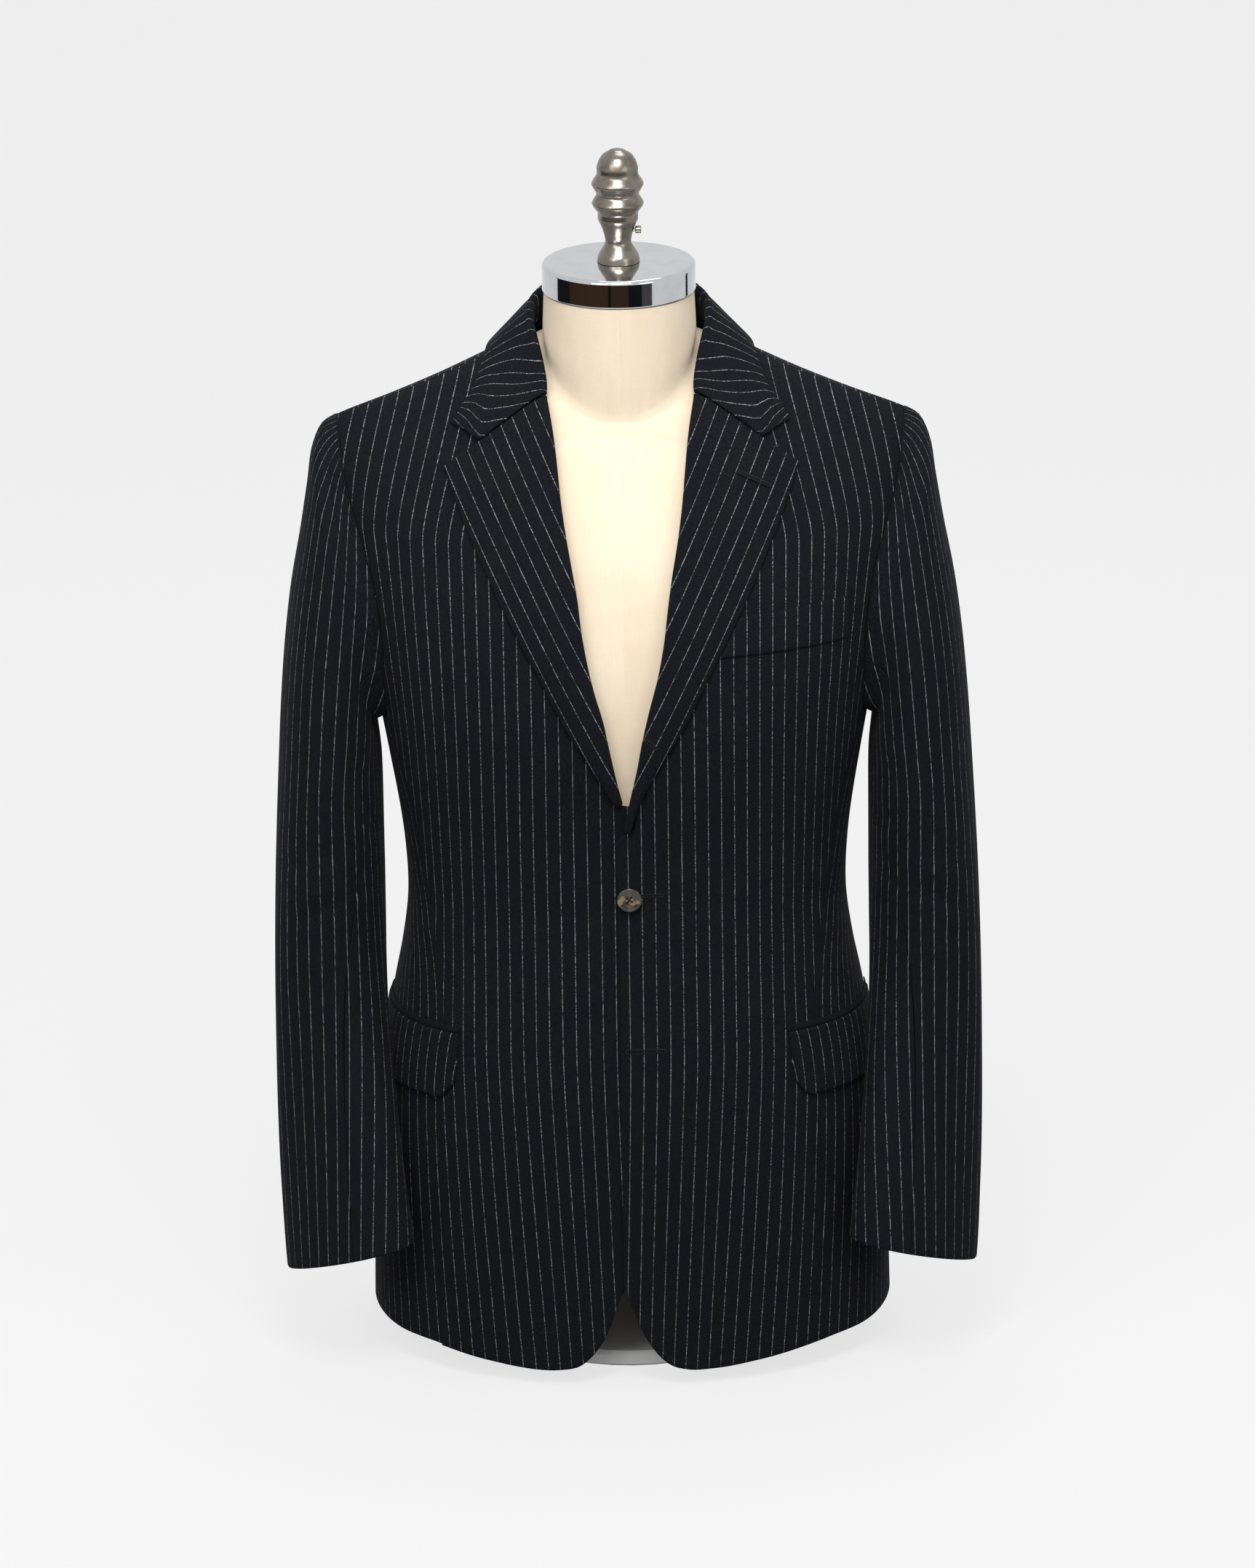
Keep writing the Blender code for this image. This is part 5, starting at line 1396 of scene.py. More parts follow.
def sleeve_ring(middle, span, half_depth, turn):
    """One ring of the arm: a superellipse, turned about the arm as it nears the cuff."""
    turns = np.linspace(0, 2 * math.pi, 241)[:-1]
    power = 2 / SLEEVE_SQUARENESS
    across = np.sign(np.cos(turns)) * np.abs(np.cos(turns)) ** power
    ahead = -np.sign(np.sin(turns)) * np.abs(np.sin(turns)) ** power
    if turn <= 0:
        ring = middle + np.outer(across, (span[0], 0.0, span[1]))
        ring[:, 1] += ahead * half_depth
        return ring
    angle = math.radians(turn)
    long_half = span[0] / math.hypot(math.cos(angle), FLAT_RATIO * math.sin(angle))
    short_half = half_depth + (long_half * FLAT_RATIO - half_depth) * ease(0, FULL_TURN, turn)
    long_half = span[0] / math.hypot(math.cos(angle), short_half / long_half * math.sin(angle))
    x = long_half * across * math.cos(angle) - short_half * ahead * math.sin(angle)
    y = long_half * across * math.sin(angle) + short_half * ahead * math.cos(angle)
    tilt = span[1] / span[0] * (x + y * math.tan(angle) * 0.9)
    return middle + np.stack((x, y, tilt), axis=1)


def sleeve_tube():
    """Rings of the whole sleeve, from the armhole's own edge to the cuff."""
    hole = armhole_edge()
    hole_shares = lengths_round(hole)[:-1] / lengths_round(hole)[-1]
    even_shares = np.arange(SLEEVE_POINTS) / SLEEVE_POINTS
    outer_x, outer_z, inner_x, inner_z, hole_y, hole_depth = SLEEVE(0)[:6]
    span = np.array((outer_x - inner_x, outer_z - inner_z)) / 2
    reach = np.linalg.norm(span)
    across = span / reach
    flat = hole[:, (0, 2)] - np.array((outer_x + inner_x, outer_z + inner_z)) / 2
    own_across = flat @ across / reach
    own_ahead = (hole[:, 1] - hole_y) / hole_depth
    own_beyond = flat @ np.array((across[1], -across[0]))
    rings = [hole + np.array((SLEEVE_ROOM, 0.0, 0.0))]
    for i in range(1, SLEEVE_ROWS):
        place = SLEEVE.keys[-1] * (i / (SLEEVE_ROWS - 1)) ** 0.93
        outer_x, outer_z, inner_x, inner_z, middle_y, half_depth, turn, free = SLEEVE(place)
        span = np.array((outer_x - inner_x, outer_z - inner_z)) / 2
        middle = np.array(((outer_x + inner_x) / 2, middle_y, (outer_z + inner_z) / 2))
        ring = sleeve_ring(middle, span, half_depth, turn)
        ring = points_round(ring, hole_shares + (even_shares - hole_shares) * min(free, 1.0))
        if free < 1:
            beyond = np.array((span[1], 0.0, -span[0])) / np.linalg.norm(span)
            bound = middle + np.outer(own_across, (span[0], 0.0, span[1]))
            bound = bound + np.outer(own_beyond * (1 - free), beyond)
            bound[:, 1] += own_ahead * half_depth
            ring = bound + (ring - bound) * free
        rings.append(ring)
    return np.array(rings)


def tube_normals(rings):
    """Outward normals of closed rings; the first ring's lie in the armhole's own plane."""
    around = np.roll(rings, -1, axis=1) - np.roll(rings, 1, axis=1)
    down = np.gradient(rings, axis=0)
    normals = unit(np.cross(around, down))
    centre = rings.mean(axis=1, keepdims=True)
    if ((rings - centre) * normals).sum() < 0:
        normals = -normals
    plane = unit((1.0, 0.0, -0.13))
    for i, hold in ((0, 1.0), (1, 0.5)):
        normals[i] = unit(normals[i] - np.outer(normals[i] @ plane, plane) * hold)
    return normals


def sleeve(hand, hand_name):
    """The upper and under sleeve, cut from one tube at the front and back seams."""
    rings = sleeve_tube()
    normals = tube_normals(rings)
    if hand < 0:
        rings, normals = mirrored(rings), mirrored(normals)
    upper = [i % SLEEVE_POINTS for i in range(BACK_SEAM, SLEEVE_POINTS + FRONT_SEAM + 1)]
    under = list(range(FRONT_SEAM, BACK_SEAM + 1))
    lay = sleeve_lay(rings, hand)
    for part_name, columns, own_lay in (("sleeve_upper_", upper, lay[:, :len(upper)]),
                                        ("sleeve_under_", under, lay[:, -len(under):])):
        points = set_back(rings[:, columns], ("first_column", "last_column"), SEAM)
        cloth_wall(part_name + hand_name, points, normals[:, columns], lay=own_lay)
    return rings, normals


# Pockets

def laid_patch(name, spots, thickness, lay):
    """Cloth that lies on a panel: the panel's own spots, moved out."""
    points, normals = grid_of(spots)
    return cloth_wall(name, points + normals * (LAID / 2 + thickness), normals, (), thickness, lay)


def flap_rows(hand, jet):
    """Spots of a hip flap with rounded lower corners, or of the narrow jet over it."""
    columns, rows = 13, 5
    first, last = (math.radians(angle) for angle in FLAP_ANGLES[hand])
    spots = []
    for t in np.linspace(0, 1, 2 if jet else rows):
        row = []
        for s in np.linspace(0, 1, columns):
            top = FLAP_TOP_FRONT + (FLAP_TOP_REAR - FLAP_TOP_FRONT) * s
            inside = max(0.0, FLAP_CORNER - FLAP_WIDTH * min(s, 1 - s))
            cut = FLAP_CORNER - math.sqrt(FLAP_CORNER ** 2 - inside ** 2)
            height = top + SEAM + JET_HEIGHT * (1 - t) if jet else top - (FLAP_DROP - cut) * t
            point, normal = torso_spot(first + (last - first) * s, height)
            row.append((point, normal) if hand > 0 else (mirrored(point), mirrored(normal)))
        spots.append(row)
    return spots


def chest_welt():
    """The welt of the breast pocket; its inner end follows the lapel's edge."""
    columns, rows = 9, 4
    spots = []
    for t in np.linspace(0, 1, rows):
        inner = LAPEL_EDGE(WELT_TOP[0] + (WELT_LOW[0] - WELT_TOP[0]) * t) + SEAM * 3
        row = []
        for s in np.linspace(0, 1, columns):
            top = WELT_TOP[0] + (WELT_TOP[1] - WELT_TOP[0]) * s
            low = WELT_LOW[0] + (WELT_LOW[1] - WELT_LOW[0]) * s
            row.append(front_spot(inner + (WELT_OUTER - inner) * s, top + (low - top) * t))
        spots.append(row)
    return laid_patch("chest_welt", spots, WELT_CLOTH, front_lay(1))


# Sewing

def thread_mesh(strands, radius):
    """Round threads along lines of points, all in one mesh."""
    curve = bpy.data.curves.new("threads", "CURVE")
    curve.dimensions = "3D"
    curve.bevel_depth = radius
    curve.bevel_resolution = 1
    curve.use_fill_caps = True
    for strand in strands:
        spline = curve.splines.new("POLY")
        spline.points.add(len(strand) - 1)
        spline.points.foreach_set("co", [c for point in strand for c in (*point, 1.0)])
    holder = bpy.data.objects.new("threads", curve)
    bpy.context.scene.collection.objects.link(holder)
    mesh = bpy.data.meshes.new_from_object(holder)
    bpy.data.objects.remove(holder)
    maker = bmesh.new()
    maker.from_mesh(mesh)
    bmesh.ops.recalc_face_normals(maker, faces=maker.faces[:])
    maker.to_mesh(mesh)
    maker.free()
    mesh.materials.clear()
    return mesh


def sewn(name, strands, radius, material):
    """Threads, as one piece."""
    piece(name, thread_mesh(strands, radius), FLANNEL_SLOT, material)


def pick_stitches(name, line, pitch=STITCH_PITCH, length=STITCH_LENGTH):
    """Small stitches along a line of spots, each sunk at its ends."""
    points = np.array([spot[0] for spot in line])
    normals = np.array([spot[1] for spot in line])
    way = way_along(points)
    strands = []
    for start in np.arange(STITCH_FREE, way[-1] - length - STITCH_FREE, pitch):
        strand = []
        for share, lift in ((0.0, -0.0002), (0.25, 0.0001), (0.75, 0.0001), (1.0, -0.0002)):
            at = start + length * share
            strand.append(read_at(at, way, points) + unit(read_at(at, way, normals)) * lift)
        strands.append(strand)
    sewn(name, strands, STITCH_RADIUS, THREAD)


def buttonhole(name, start, end, normal, eyelet=0.0):
    """A worked buttonhole: close stitches round a slit, with a keyhole at its first end if wanted; the slit
    and the keyhole's hole are near-black strands of painted shade.
    """
    start, end, normal = np.asarray(start), np.asarray(end), unit(normal)
    along = unit(end - start)
    across = np.cross(normal, along)
    length = np.linalg.norm(end - start)
    half_width = BUTTONHOLE_WIDTH / 2
    ring = []
    for turn in np.linspace(-math.pi / 2, math.pi / 2, 9):
        ring.append(end + (along * math.cos(turn) * 0.4 + across * math.sin(turn)) * half_width)
    bulb = max(half_width, eyelet)
    for turn in np.linspace(math.pi / 2 + 0.35, math.pi * 1.5 - 0.35, 13):
        ring.append(start + (along * math.cos(turn) + across * math.sin(turn)) * bulb)
    ring.append(ring[0])
    way = way_along(ring)
    strands = []
    for at in np.arange(0.0, way[-1], BUTTONHOLE_PITCH):
        spot = read_at(at, way, ring)
        middle = start + along * min(max((spot - start) @ along, 0.0), length)
        out = unit(spot - middle + across * 1e-6)
        strands.append([spot - out * 0.0004 + normal * 0.0001, spot + normal * 0.00035, spot + out * 0.0005])
    sewn(name, strands, 0.00028, THREAD)
    # Painted shade: the slit's opening and the keyhole's hole are near-black strands.
    slit = [spot + normal * 0.00018 for spot in (start, (start + end) / 2, end)]
    sewn(name + "_slit", [slit], 0.00030, SHADE_STRAND)
    if eyelet:
        hole = [start + normal * 0.0002 + (along * math.cos(a) + across * math.sin(a)) * eyelet * 0.3
                for a in np.linspace(0, 2 * math.pi, 9)]
        sewn(name + "_eyelet", [hole], eyelet * 0.32, SHADE_STRAND)


# Buttons

def placed(x_axis, y_axis, z_axis, place):
    """The matrix that turns and moves a mesh onto three axes and a place."""
    rows = [[x_axis[k], y_axis[k], z_axis[k], place[k]] for k in range(3)]
    return Matrix(rows + [[0, 0, 0, 1]])


def horn_button(name, place, normal, radius, turn):
    """A four-hole button with a raised rim and a dished middle, sewn on with crossed thread."""
    place, normal = np.asarray(place), unit(normal)
    height = BUTTON_HEIGHT
    profile = [(0.0, 0.56), (0.18, 0.56), (0.36, 0.58), (0.50, 0.66), (0.58, 0.76), (0.64, 0.80),
               (0.72, 0.82), (0.80, 0.90), (0.88, 1.00), (0.94, 0.98), (0.985, 0.86), (1.0, 0.66),
               (0.98, 0.48), (0.92, 0.30), (0.80, 0.10), (0.62, 0.0), (0.0, 0.0)]
    mesh = spun(name, [(r * radius, z * height) for r, z in profile], 64)
    body = bpy.data.objects.new(name + "_body", mesh)
    maker = bmesh.new()
    spread = radius * HOLE_SPREAD
    for k in range(4):
        angle = math.pi / 4 + k * math.pi / 2
        centre = Matrix.Translation((math.cos(angle) * spread, math.sin(angle) * spread, height * 0.4))
        bmesh.ops.create_cone(maker, cap_ends=True, segments=16, radius1=radius * HOLE_RADIUS,
                              radius2=radius * HOLE_RADIUS, depth=height * 2, matrix=centre)
    drill = bpy.data.objects.new("drill", mesh_from(maker, "drill"))
    for made in (body, drill):
        bpy.context.scene.collection.objects.link(made)
    cut = body.modifiers.new("holes", "BOOLEAN")
    cut.operation = "DIFFERENCE"
    cut.solver = "EXACT"
    cut.object = drill
    finished = bpy.data.meshes.new_from_object(body.evaluated_get(bpy.context.evaluated_depsgraph_get()))
    bpy.data.objects.remove(body)
    bpy.data.objects.remove(drill)
    across = unit(np.cross((0.0, 0.0, 1.0), normal))
    up = np.cross(normal, across)
    turned = np.array(((math.cos(turn), math.sin(turn)), (-math.sin(turn), math.cos(turn))))
    across, up = turned @ np.array((across, up))
    place = place + normal * SEAM
    finished.transform(placed(across, up, normal, place))
    piece(name + "_horn", finished, "horn", HORN, replaces=(name,))
    strands = []
    for pair in (0, 1):
        angle = math.pi / 4 + pair * math.pi / 2
        rises = ((0.0, 0.42), (0.06, 0.66), (0.5, 0.74 + 0.10 * pair), (0.94, 0.66), (1.0, 0.42))
        for side in (-0.00024, 0.00024):
            strand = []
            for share, lift in rises:
                reach = spread * (1 - 2 * share)
                x = math.cos(angle) * reach - math.sin(angle) * side
                y = math.sin(angle) * reach + math.cos(angle) * side
                strand.append(place + across * x + up * y + normal * height * lift)
            strands.append(strand)
    piece(name + "_sewing", thread_mesh(strands, 0.00024), "horn", THREAD)


# The dress form

def form_rings():
    """Rings of the linen form, from its foot up the body, over the shoulders and up the neck."""
    angles = [2 * math.pi * j / FORM_COLUMNS for j in range(FORM_COLUMNS)]
    rings = []
    for height in np.linspace(FORM_FOOT, CHEST_LEVEL, FORM_ROWS + 1):
        ring = []
        for angle in angles:
            spot, normal = torso_spot(math.remainder(angle, 2 * math.pi), height)
            room = FORM_EASE + FORM_SKIRT_EASE * (1 - ease(0.10, 0.36, height))
            ring.append(spot - normal * (CLOTH + room))
        rings.append(ring)
    for lift in FORM_LIFTS:
        rise = math.sin(math.radians(lift))
        ring = []
        for angle in angles:
            side = FRONT if math.cos(angle) > 0 else BACK
            own = math.radians(lift) if side == FRONT else math.asin(rise ** 2)
            half = FORM_SHOULDER[0] + FORM_SHOULDER[1] * rise
            x = half * math.copysign(abs(math.sin(angle)) ** (2 / SQUARENESS), math.sin(angle))
            spot, normal = yoke_spot(x, own, side)
            y = spot[1] - normal[1] * (CLOTH + FORM_EASE)
            y = FORM_SIDE_Y + (y - FORM_SIDE_Y) * abs(math.cos(angle)) ** 0.5
            ring.append(np.array((x, y, spot[2] - FORM_SHOULDER_DROP)))
        rings.append(ring)
    shoulder = rings[-1]
    for draw in FORM_DRAWS:
        ring = []
        for start, angle in zip(shoulder, angles):
            neck_x = (NECK_RADIUS + FORM_NECK_EASE) * math.sin(angle)
            neck_y = FORM_NECK_Y - (NECK_RADIUS + FORM_NECK_EASE) * math.cos(angle)
            x = start[0] + (neck_x - start[0]) * draw
            y = start[1] + (neck_y - start[1]) * draw
            spot, normal = top_spot(x, y)
            seat = FORM_EASE + (FORM_SEAT - FORM_EASE) * ease(0.80, 0.92, normal[2])
            ring.append(np.array((x, y, spot[2] - (CLOTH + seat) / max(normal[2], 0.35))))
        rings.append(ring)
    collar_ring = rings[-1]
    for t in (0.35, 0.7, 1.0):
        ring = []
        for start, angle in zip(collar_ring, angles):
            target = np.array((NECK_RADIUS * math.sin(angle), -NECK_RADIUS * math.cos(angle), NECK_TOP))
            ring.append(start + (target - start) * t)
        rings.append(ring)
    return rings


def linen_form():
    """The form's linen cover, a fine closed skin through the solid's own rings."""
    rings = np.array(form_rings())
    rings = np.concatenate((rings[:, -3:], rings, rings[:, :3]), axis=1)
    row_keys = lengths_along(rings, 0).mean(axis=1)
    column_keys = lengths_along(rings, 1).mean(axis=0)
    rows = even_places(row_keys, lambda span: max(2, round(span / 0.008)))
    columns = even_places(column_keys[3:-2], lambda span: 4)
    skin = curve_through(rings, row_keys, rows)
    skin = curve_through(skin.swapaxes(0, 1), column_keys, columns).swapaxes(0, 1)
    maker, place = laid_grid(skin)
    give_lay(maker, place, np.stack(np.meshgrid(columns, rows), axis=2))
    bmesh.ops.remove_doubles(maker, verts=maker.verts[:], dist=1e-5)
    bmesh.ops.holes_fill(maker, edges=[edge for edge in maker.edges if edge.is_boundary], sides=0)
    piece("form_linen", mesh_from(maker, "linen"), "linen", LINEN, replaces=("form_body",))


def metalwork():
    """The neck cap, the finial and its screw."""
    low = CAP_TOP - CAP_BAND
    corner = [(CAP_RADIUS + CAP_CORNER * (math.sin(a) - 1), CAP_TOP + CAP_CORNER * (math.cos(a) - 1))
              for a in np.linspace(0, math.pi / 2, 9)]
    foot = [(CAP_RADIUS + CAP_FOOT_CORNER * (math.cos(a) - 1), low + CAP_FOOT_CORNER * (1 - math.sin(a)))
            for a in np.linspace(0, math.pi / 2, 5)]
    near = 0.0004         # close rows keep the flat faces' shading flat
    band = [(CAP_RADIUS, CAP_TOP - CAP_CORNER - near), (CAP_RADIUS, low + CAP_FOOT_CORNER + near)]
    top = [(0, CAP_TOP), (CAP_RADIUS - 4 * CAP_CORNER, CAP_TOP), (CAP_RADIUS - CAP_CORNER - near, CAP_TOP)]
    cap = spun("cap", top + corner + band + foot + [(CAP_HOLE, low), (0, low)], 128)
    piece("cap_chrome", cap, "chrome", CHROME, replaces=("neck_cap",))
    seat = CAP_TOP + SEAM
    profile = [(0, seat)]
    end = FINIAL.keys[-1]
    for height in np.linspace(0, end, 90):
        profile.append((FINIAL(height), seat + height))
    for share in (0.30, 0.6, 0.85):
        turn = share * math.pi / 2
        profile.append((FINIAL(end) * math.cos(turn), seat + end + (FINIAL_TOP - end) * math.sin(turn)))
    profile.append((0, seat + FINIAL_TOP))
    piece("finial_nickel", spun("finial", profile, 96), "nickel", NICKEL, replaces=("finial",))
    screw(seat)


def screw(seat):
    """The finial's set screw: a rounded head with a hollow, and a shank that runs into the finial."""
    maker = bmesh.new()
    start = FINIAL(SET_SCREW_HEIGHT + SET_SCREW_RADIUS) + SEAM
    sideways = Matrix.Rotation(math.pi / 2, 4, "Y")
    centre = Matrix.Translation((start + SET_SCREW_LENGTH / 2, 0, seat + SET_SCREW_HEIGHT))
    radius = SET_SCREW_RADIUS * 0.97
    bmesh.ops.create_cone(maker, cap_ends=True, segments=24, radius1=radius, radius2=radius,
                          depth=SET_SCREW_LENGTH, matrix=centre @ sideways)
    rims = [edge for edge in maker.edges if not edge.is_boundary and edge.calc_face_angle(0) > 1.0]
    bmesh.ops.bevel(maker, geom=rims, offset=0.0005, segments=3, profile=0.5, affect="EDGES", material=-1)
    ends = [face for face in maker.faces if face.normal.x > 0.9]
    bmesh.ops.inset_region(maker, faces=ends, thickness=0.0009, depth=0.0)
    bmesh.ops.translate(maker, verts=list({v for face in ends for v in face.verts}), vec=(-0.0007, 0, 0))
    shank = Matrix.Translation((start - 0.003, 0, seat + SET_SCREW_HEIGHT))
    bmesh.ops.create_cone(maker, cap_ends=True, segments=20, radius1=SHANK_RADIUS, radius2=SHANK_RADIUS,
                          depth=SHANK_LENGTH, matrix=shank @ sideways)
    piece("set_screw_nickel", mesh_from(maker, "screw"), "nickel", NICKEL, replaces=("set_screw",))


def hand_front(x, height, hand, out=0.0):
    """A spot on one hand's front, with its creases, a little way out."""
    point, normal = hand_spot(x, height, hand)
    depth = crease_depth(point[None, None])[0, 0]
    return point + normal * (out + depth), normal


def lapel_spot(x, height, hand):
    """A spot on the outer face of a lapel."""
    point, normal = hand_spot(x, height, hand)
    fold_x, edge_x = ROLL_LINE(height), LAPEL_EDGE(height)
    s = (x - fold_x) / max(edge_x - fold_x, 0.001)
    lift = LAPEL_SPRING + (TURNED_CLOTH + LAID - LAPEL_SPRING) * ease(0, 0.7, s)
    return point + normal * (lift + LAPEL_BULGE * math.sin(math.pi * min(max(s, 0.0), 1.0))), normal


def sewing():
    """Edge stitching on fronts, lapels, flaps and welt."""
    for hand, hand_name in ((1, "left"), (-1, "right")):
        line = []
        if hand > 0:
            for height in np.linspace(EDGE_STITCH_TOP, 0.100, 60):
                line.append(hand_front(EDGE_X + STITCH_IN, height, hand))
        for away in np.concatenate((np.linspace(0.0, 0.03, 20), np.linspace(0.034, 0.120, 24))):
            x = hand * CENTRE_X + away + STITCH_IN * (1 - ease(0.0, 0.05, away))
            height = FRONT_HEM(away) + STITCH_IN * ease(0.0, 0.04, away)
            if hand > 0 or away > 0.004:
                line.append(hand_front(max(x, EDGE_X + STITCH_IN), height, hand))
        pick_stitches("edge_stitching_" + hand_name, line)
        line = []
        for height in np.linspace(LAPEL_FOOT[hand] + 0.025, LAPEL_CORNER[1] - 0.006, 60):
            line.append(lapel_spot(LAPEL_EDGE(height) - STITCH_IN * 0.8, height, hand))
        pick_stitches("lapel_stitching_" + hand_name, line)
        rows = flap_rows(hand, False)
        places = ((0.035, 0.05), (0.035, 0.55), (0.042, 0.78), (0.070, 0.88),
                  (0.12, 0.90), (0.35, 0.90), (0.75, 0.90))
        pick_stitches("flap_stitching_" + hand_name, patch_line(rows, FLAP_CLOTH, places))
    for out, end in ((-0.0022, 1), (-0.0052, 2)):
        line = []
        for height in np.linspace(WELT_TOP[1] - 0.002, WELT_LOW[1] + 0.001, 12):
            line.append(hand_front(WELT_OUTER + out, height, 1, WELT_CLOTH + LAID / 2))
        pick_stitches(f"welt_stitching_{end}", line, 0.0032, 0.0018)


def patch_line(rows, thickness, places):
    """Spots on the outer face of cloth that lies on a panel, through places given as shares of it."""
    points, normals = grid_of(rows)
    outer = points + normals * (LAID / 2 + thickness + crease_depth(points)[..., None])
    down, across = np.linspace(0, 1, outer.shape[0]), np.linspace(0, 1, outer.shape[1])
    spots = []
    for (s1, t1), (s2, t2) in zip(places, places[1:]):
        for share in np.linspace(0, 1, 12):
            s, t = np.array([s1 + (s2 - s1) * share]), np.array([t1 + (t2 - t1) * share])
            spots.append([curve_through(curve_through(grid, down, t)[0], across, s)[0]
                          for grid in (outer, normals)])
    return spots


def seam_shade_strands():
    """Painted shade: a near-black strand behind each armhole's seam, and behind the gorge's seam where it
    turns over, darkening the gaps there.
    """
    loop = armhole_edge()
    centre = loop.mean(axis=0)
    inwards = unit((centre - loop) * np.array((0.0, 1.0, 1.0)))
    loop = loop + inwards * 0.0012 + np.array((SLEEVE_ROOM / 2, 0.0, 0.0))
    keys = np.arange(len(loop) + 4, dtype=float)
    places = np.linspace(2.0, len(loop) + 2.0, 161)
    smooth = curve_through(np.concatenate((loop[-2:], loop, loop[:2])), keys, places)
    for hand, hand_name in ((1, "left"), (-1, "right")):
        strand = smooth if hand > 0 else mirrored(smooth)
        # Painted shade: near-black strands that darken the gap at the armhole and inside the gorge's fold.
        sewn("armhole_tape_" + hand_name, [strand], 0.0008, SHADE_STRAND)
        turned = np.array(turned_edge(*roll_frame(GORGE_TOP, hand)))
        turned = turned + unit(turned.mean(axis=0) - turned) * 0.0008
        sewn("gorge_tape_" + hand_name, [turned], 0.0011, SHADE_STRAND)


def front_buttonholes():
    """The two worked buttonholes of the left front and the two in its lapel."""
    for name, (first, last, eyelet) in FRONT_BUTTONHOLES.items():
        start, out = hand_front(*first, 1, 0.0002)
        buttonhole(name, start, hand_front(*last, 1, 0.0002)[0], out, eyelet=eyelet)
    for name, (first, last) in LAPEL_BUTTONHOLES.items():
        start, out = lapel_spot(*first, 1)
        buttonhole(name, start, lapel_spot(*last, 1)[0], out)


def build():
    """Make every piece."""
    for hand, hand_name in ((1, "left"), (-1, "right")):
        front_panel("front_" + hand_name, hand)
        side_panel("side_" + hand_name, hand)
        back_panel("back_" + hand_name, hand)
        lapel("lapel_" + hand_name, hand)
        laid_patch("flap_" + hand_name, flap_rows(hand, False), FLAP_CLOTH, flap_lay(hand))
        laid_patch("jet_" + hand_name, flap_rows(hand, True), JET_CLOTH, plain_lay)
        rings, normals = sleeve(hand, hand_name)
        for number, row in ((1, SLEEVE_ROWS - 2), (2, SLEEVE_ROWS - 3)):
            column = BACK_SEAM + SLEEVE_BUTTON_COLUMN
            lower, higher = rings[row, column], rings[row - 1, column]
            spot = lower + (higher - lower) * SLEEVE_BUTTON_STEP * (number - 1)
            horn_button(f"sleeve_button_{number}_{hand_name}", spot + normals[row, column] * SEAM * 2,
                        normals[row, column], SLEEVE_BUTTON_RADIUS, 0.3 * number)
    collar()
    chest_welt()
    point, normal = front_spot(*BUTTON_PLACE)
    horn_button("button_middle", point + normal * SEAM * 2, normal, BUTTON_RADIUS, 0.15)
    sewing()
    front_buttonholes()
    seam_shade_strands()
    linen_form()
    metalwork()
    for node, material in (("pole", NICKEL), ("base_plate", BASE_PAINT)):
        solid = bpy.data.objects[frame["nodes"][node] if isinstance(frame["nodes"][node], str) else node]
        solid.data.materials.clear()
        solid.data.materials.append(material)


build()


# The studio

def studio_material(name, colour, glow=0.0):
    """A matt stage material."""
    return new_material(name, {"Roughness": 0.95, "Specular IOR Level": 0.1, "Emission Strength": glow,
                               "Emission Color": (1.0, 1.0, 1.0, 1.0), "Base Color": (*colour, 1.0)})[0]


def plane(name, corners, material):
    """One flat stage piece."""
    maker = bmesh.new()
    maker.faces.new([maker.verts.new(corner) for corner in corners])
    mesh = bpy.data.meshes.new(name)
    maker.to_mesh(mesh)
    maker.free()
    made = bpy.data.objects.new(name, mesh)
    mesh.materials.append(material)
    bpy.context.scene.collection.objects.link(made)
    return made


def lamp(name, place, target, size, power):
    """A round soft lamp that points at a target."""
    light = bpy.data.lights.new(name, "AREA")
    light.shape = "DISK"
    light.size = size
    light.energy = power
    made = bpy.data.objects.new(name, light)
    made.location = place
    made.rotation_euler = (Vector(target) - Vector(place)).to_track_quat("-Z", "Y").to_euler()
    bpy.context.scene.collection.objects.link(made)


def square(reach, height):
    """Corners of a level square."""
    return [(x * reach, y * reach, height) for x, y in ((-1, -1), (1, -1), (1, 1), (-1, 1))]


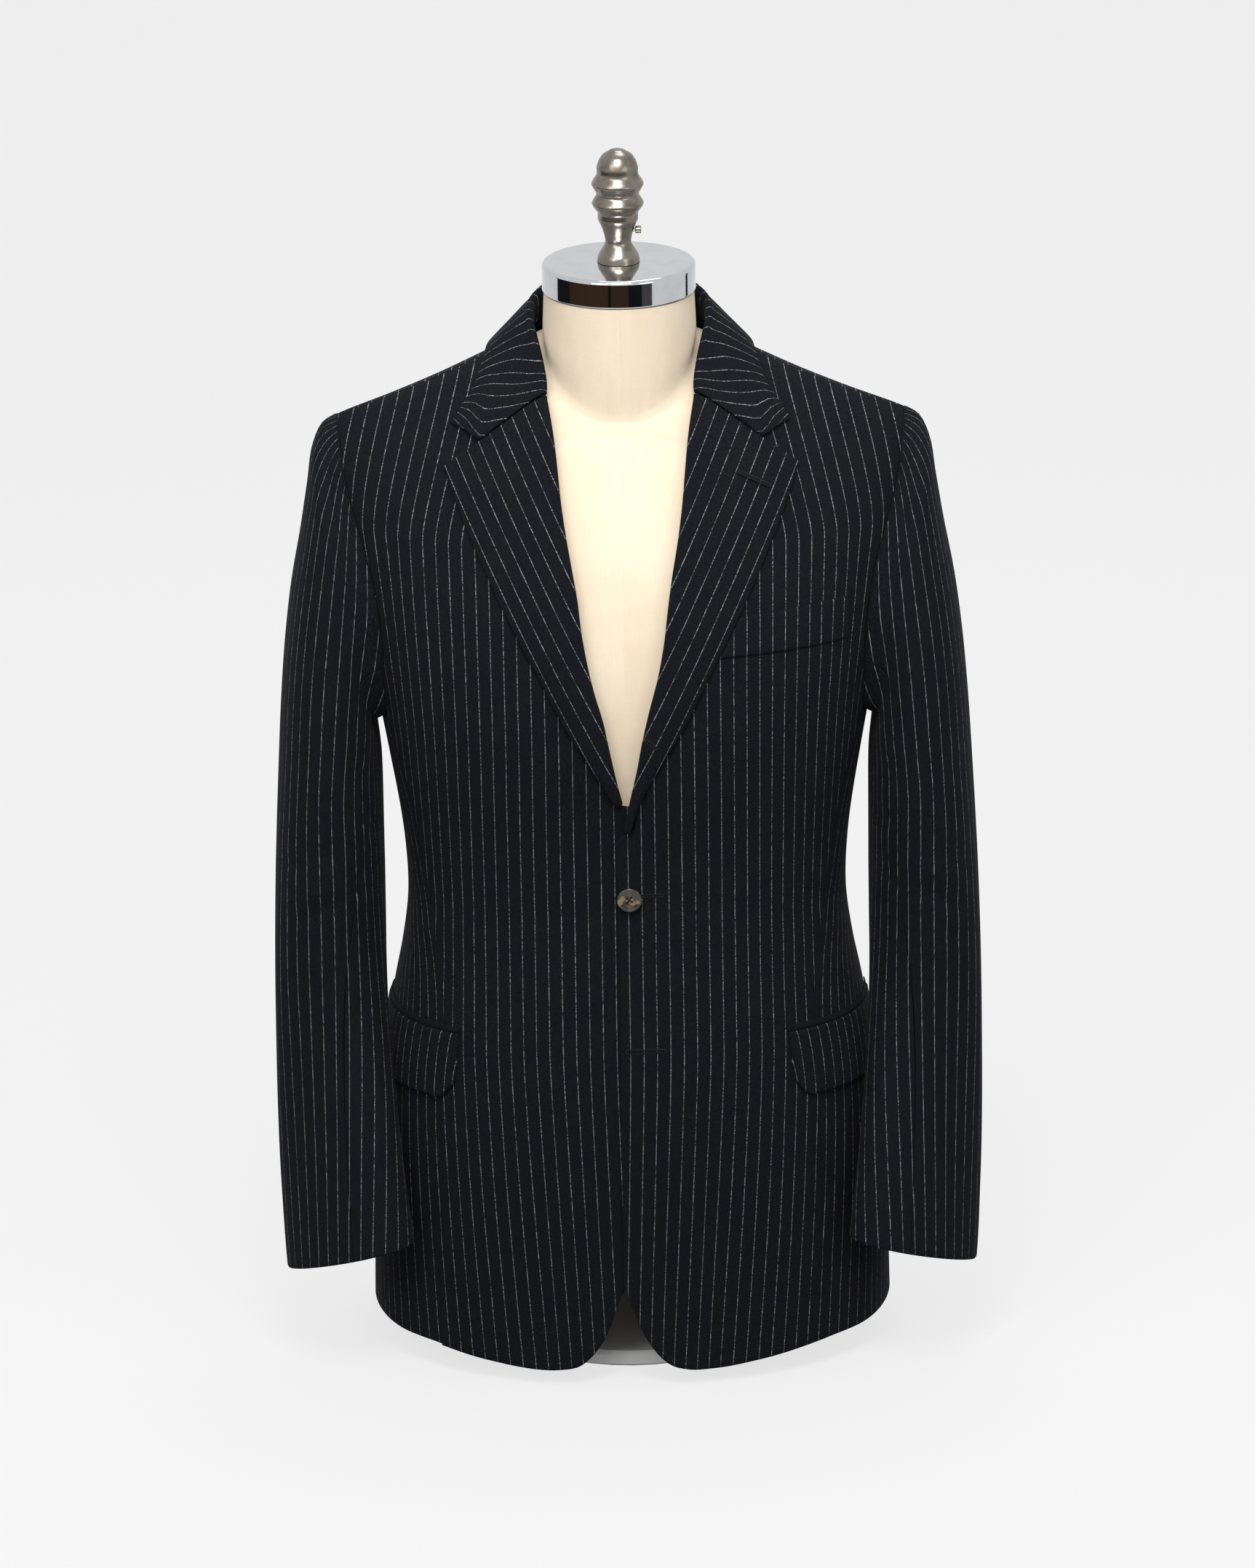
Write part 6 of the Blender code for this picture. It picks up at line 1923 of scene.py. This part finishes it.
def studio():
    """A pale floor, an even pale room and soft lamps, with dark cards that only gloss reflects."""
    floor = plane("floor", square(FLOOR_REACH, 0), studio_material("floor_paper", (0.12, 0.12, 0.12), 0.73))
    floor.visible_diffuse = False
    brown = studio_material("brown_card", (0.060, 0.030, 0.014))
    black = studio_material("black_card", (0.006, 0.006, 0.008))
    grey = studio_material("grey_card", (0.100, 0.090, 0.100))
    for number, (first, last, look) in enumerate((
            (-104, -78, black), (-78, -16, brown), (-16, -12, black), (-12, 14, brown), (14, 34, black),
            (34, 50, grey), (118, 124, black))):
        corners = []
        for angle, height in ((first, CARD_FOOT), (last, CARD_FOOT), (last, CARD_TOP), (first, CARD_TOP)):
            angle = math.radians(angle)
            corners.append((CARD_DISTANCE * math.sin(angle), -CARD_DISTANCE * math.cos(angle), height))
        card = plane(f"card_{number}", corners, look)
        card.visible_camera = card.visible_diffuse = card.visible_shadow = False
    below = plane("shade_below", square(6, -0.02), black)
    below.visible_camera = below.visible_glossy = False
    world = bpy.data.worlds.new("room")
    world.use_nodes = True
    background = world.node_tree.nodes["Background"]
    background.inputs["Color"].default_value = (ROOM, ROOM, ROOM, 1.0)
    background.inputs["Strength"].default_value = 1.0
    bpy.context.scene.world = world
    lamp("key", (-1.5, -2.6, 2.3), (0, 0, 0.5), 1.4, 26.0)
    lamp("fill", (1.9, -2.2, 1.5), (0, 0, 0.5), 1.2, 10.0)
    lamp("top", (0.2, 0.8, 2.6), (0, 0, 0.7), 1.0, 10.0)
    lamp("upper_front", (0.0, -1.15, 2.05), (0, 0, 0.72), 0.9, 30.0)
    bpy.context.scene.view_settings.view_transform = "Standard"


def camera():
    """The photograph's view, from straight in front and a little above, with its slight roll."""
    tilt, roll = math.radians(VIEW_TILT), math.radians(VIEW_ROLL)
    back = Vector((0.0, -math.cos(tilt), math.sin(tilt)))
    side = Vector((1.0, 0.0, 0.0))
    top = back.cross(side)
    right = side * math.cos(roll) - top * math.sin(roll)
    up = top * math.cos(roll) + side * math.sin(roll)
    data = bpy.data.cameras.new("camera")
    data.sensor_width = SENSOR
    data.lens = FOCAL_LENGTH * SENSOR / PHOTO_HEIGHT
    data.clip_end = 100.0
    made = bpy.data.objects.new("camera", data)
    made.matrix_world = placed(right, up, back, Vector(VIEW_TARGET) + back * VIEW_DISTANCE)
    bpy.context.scene.collection.objects.link(made)
    bpy.context.scene.camera = made


studio()
camera()
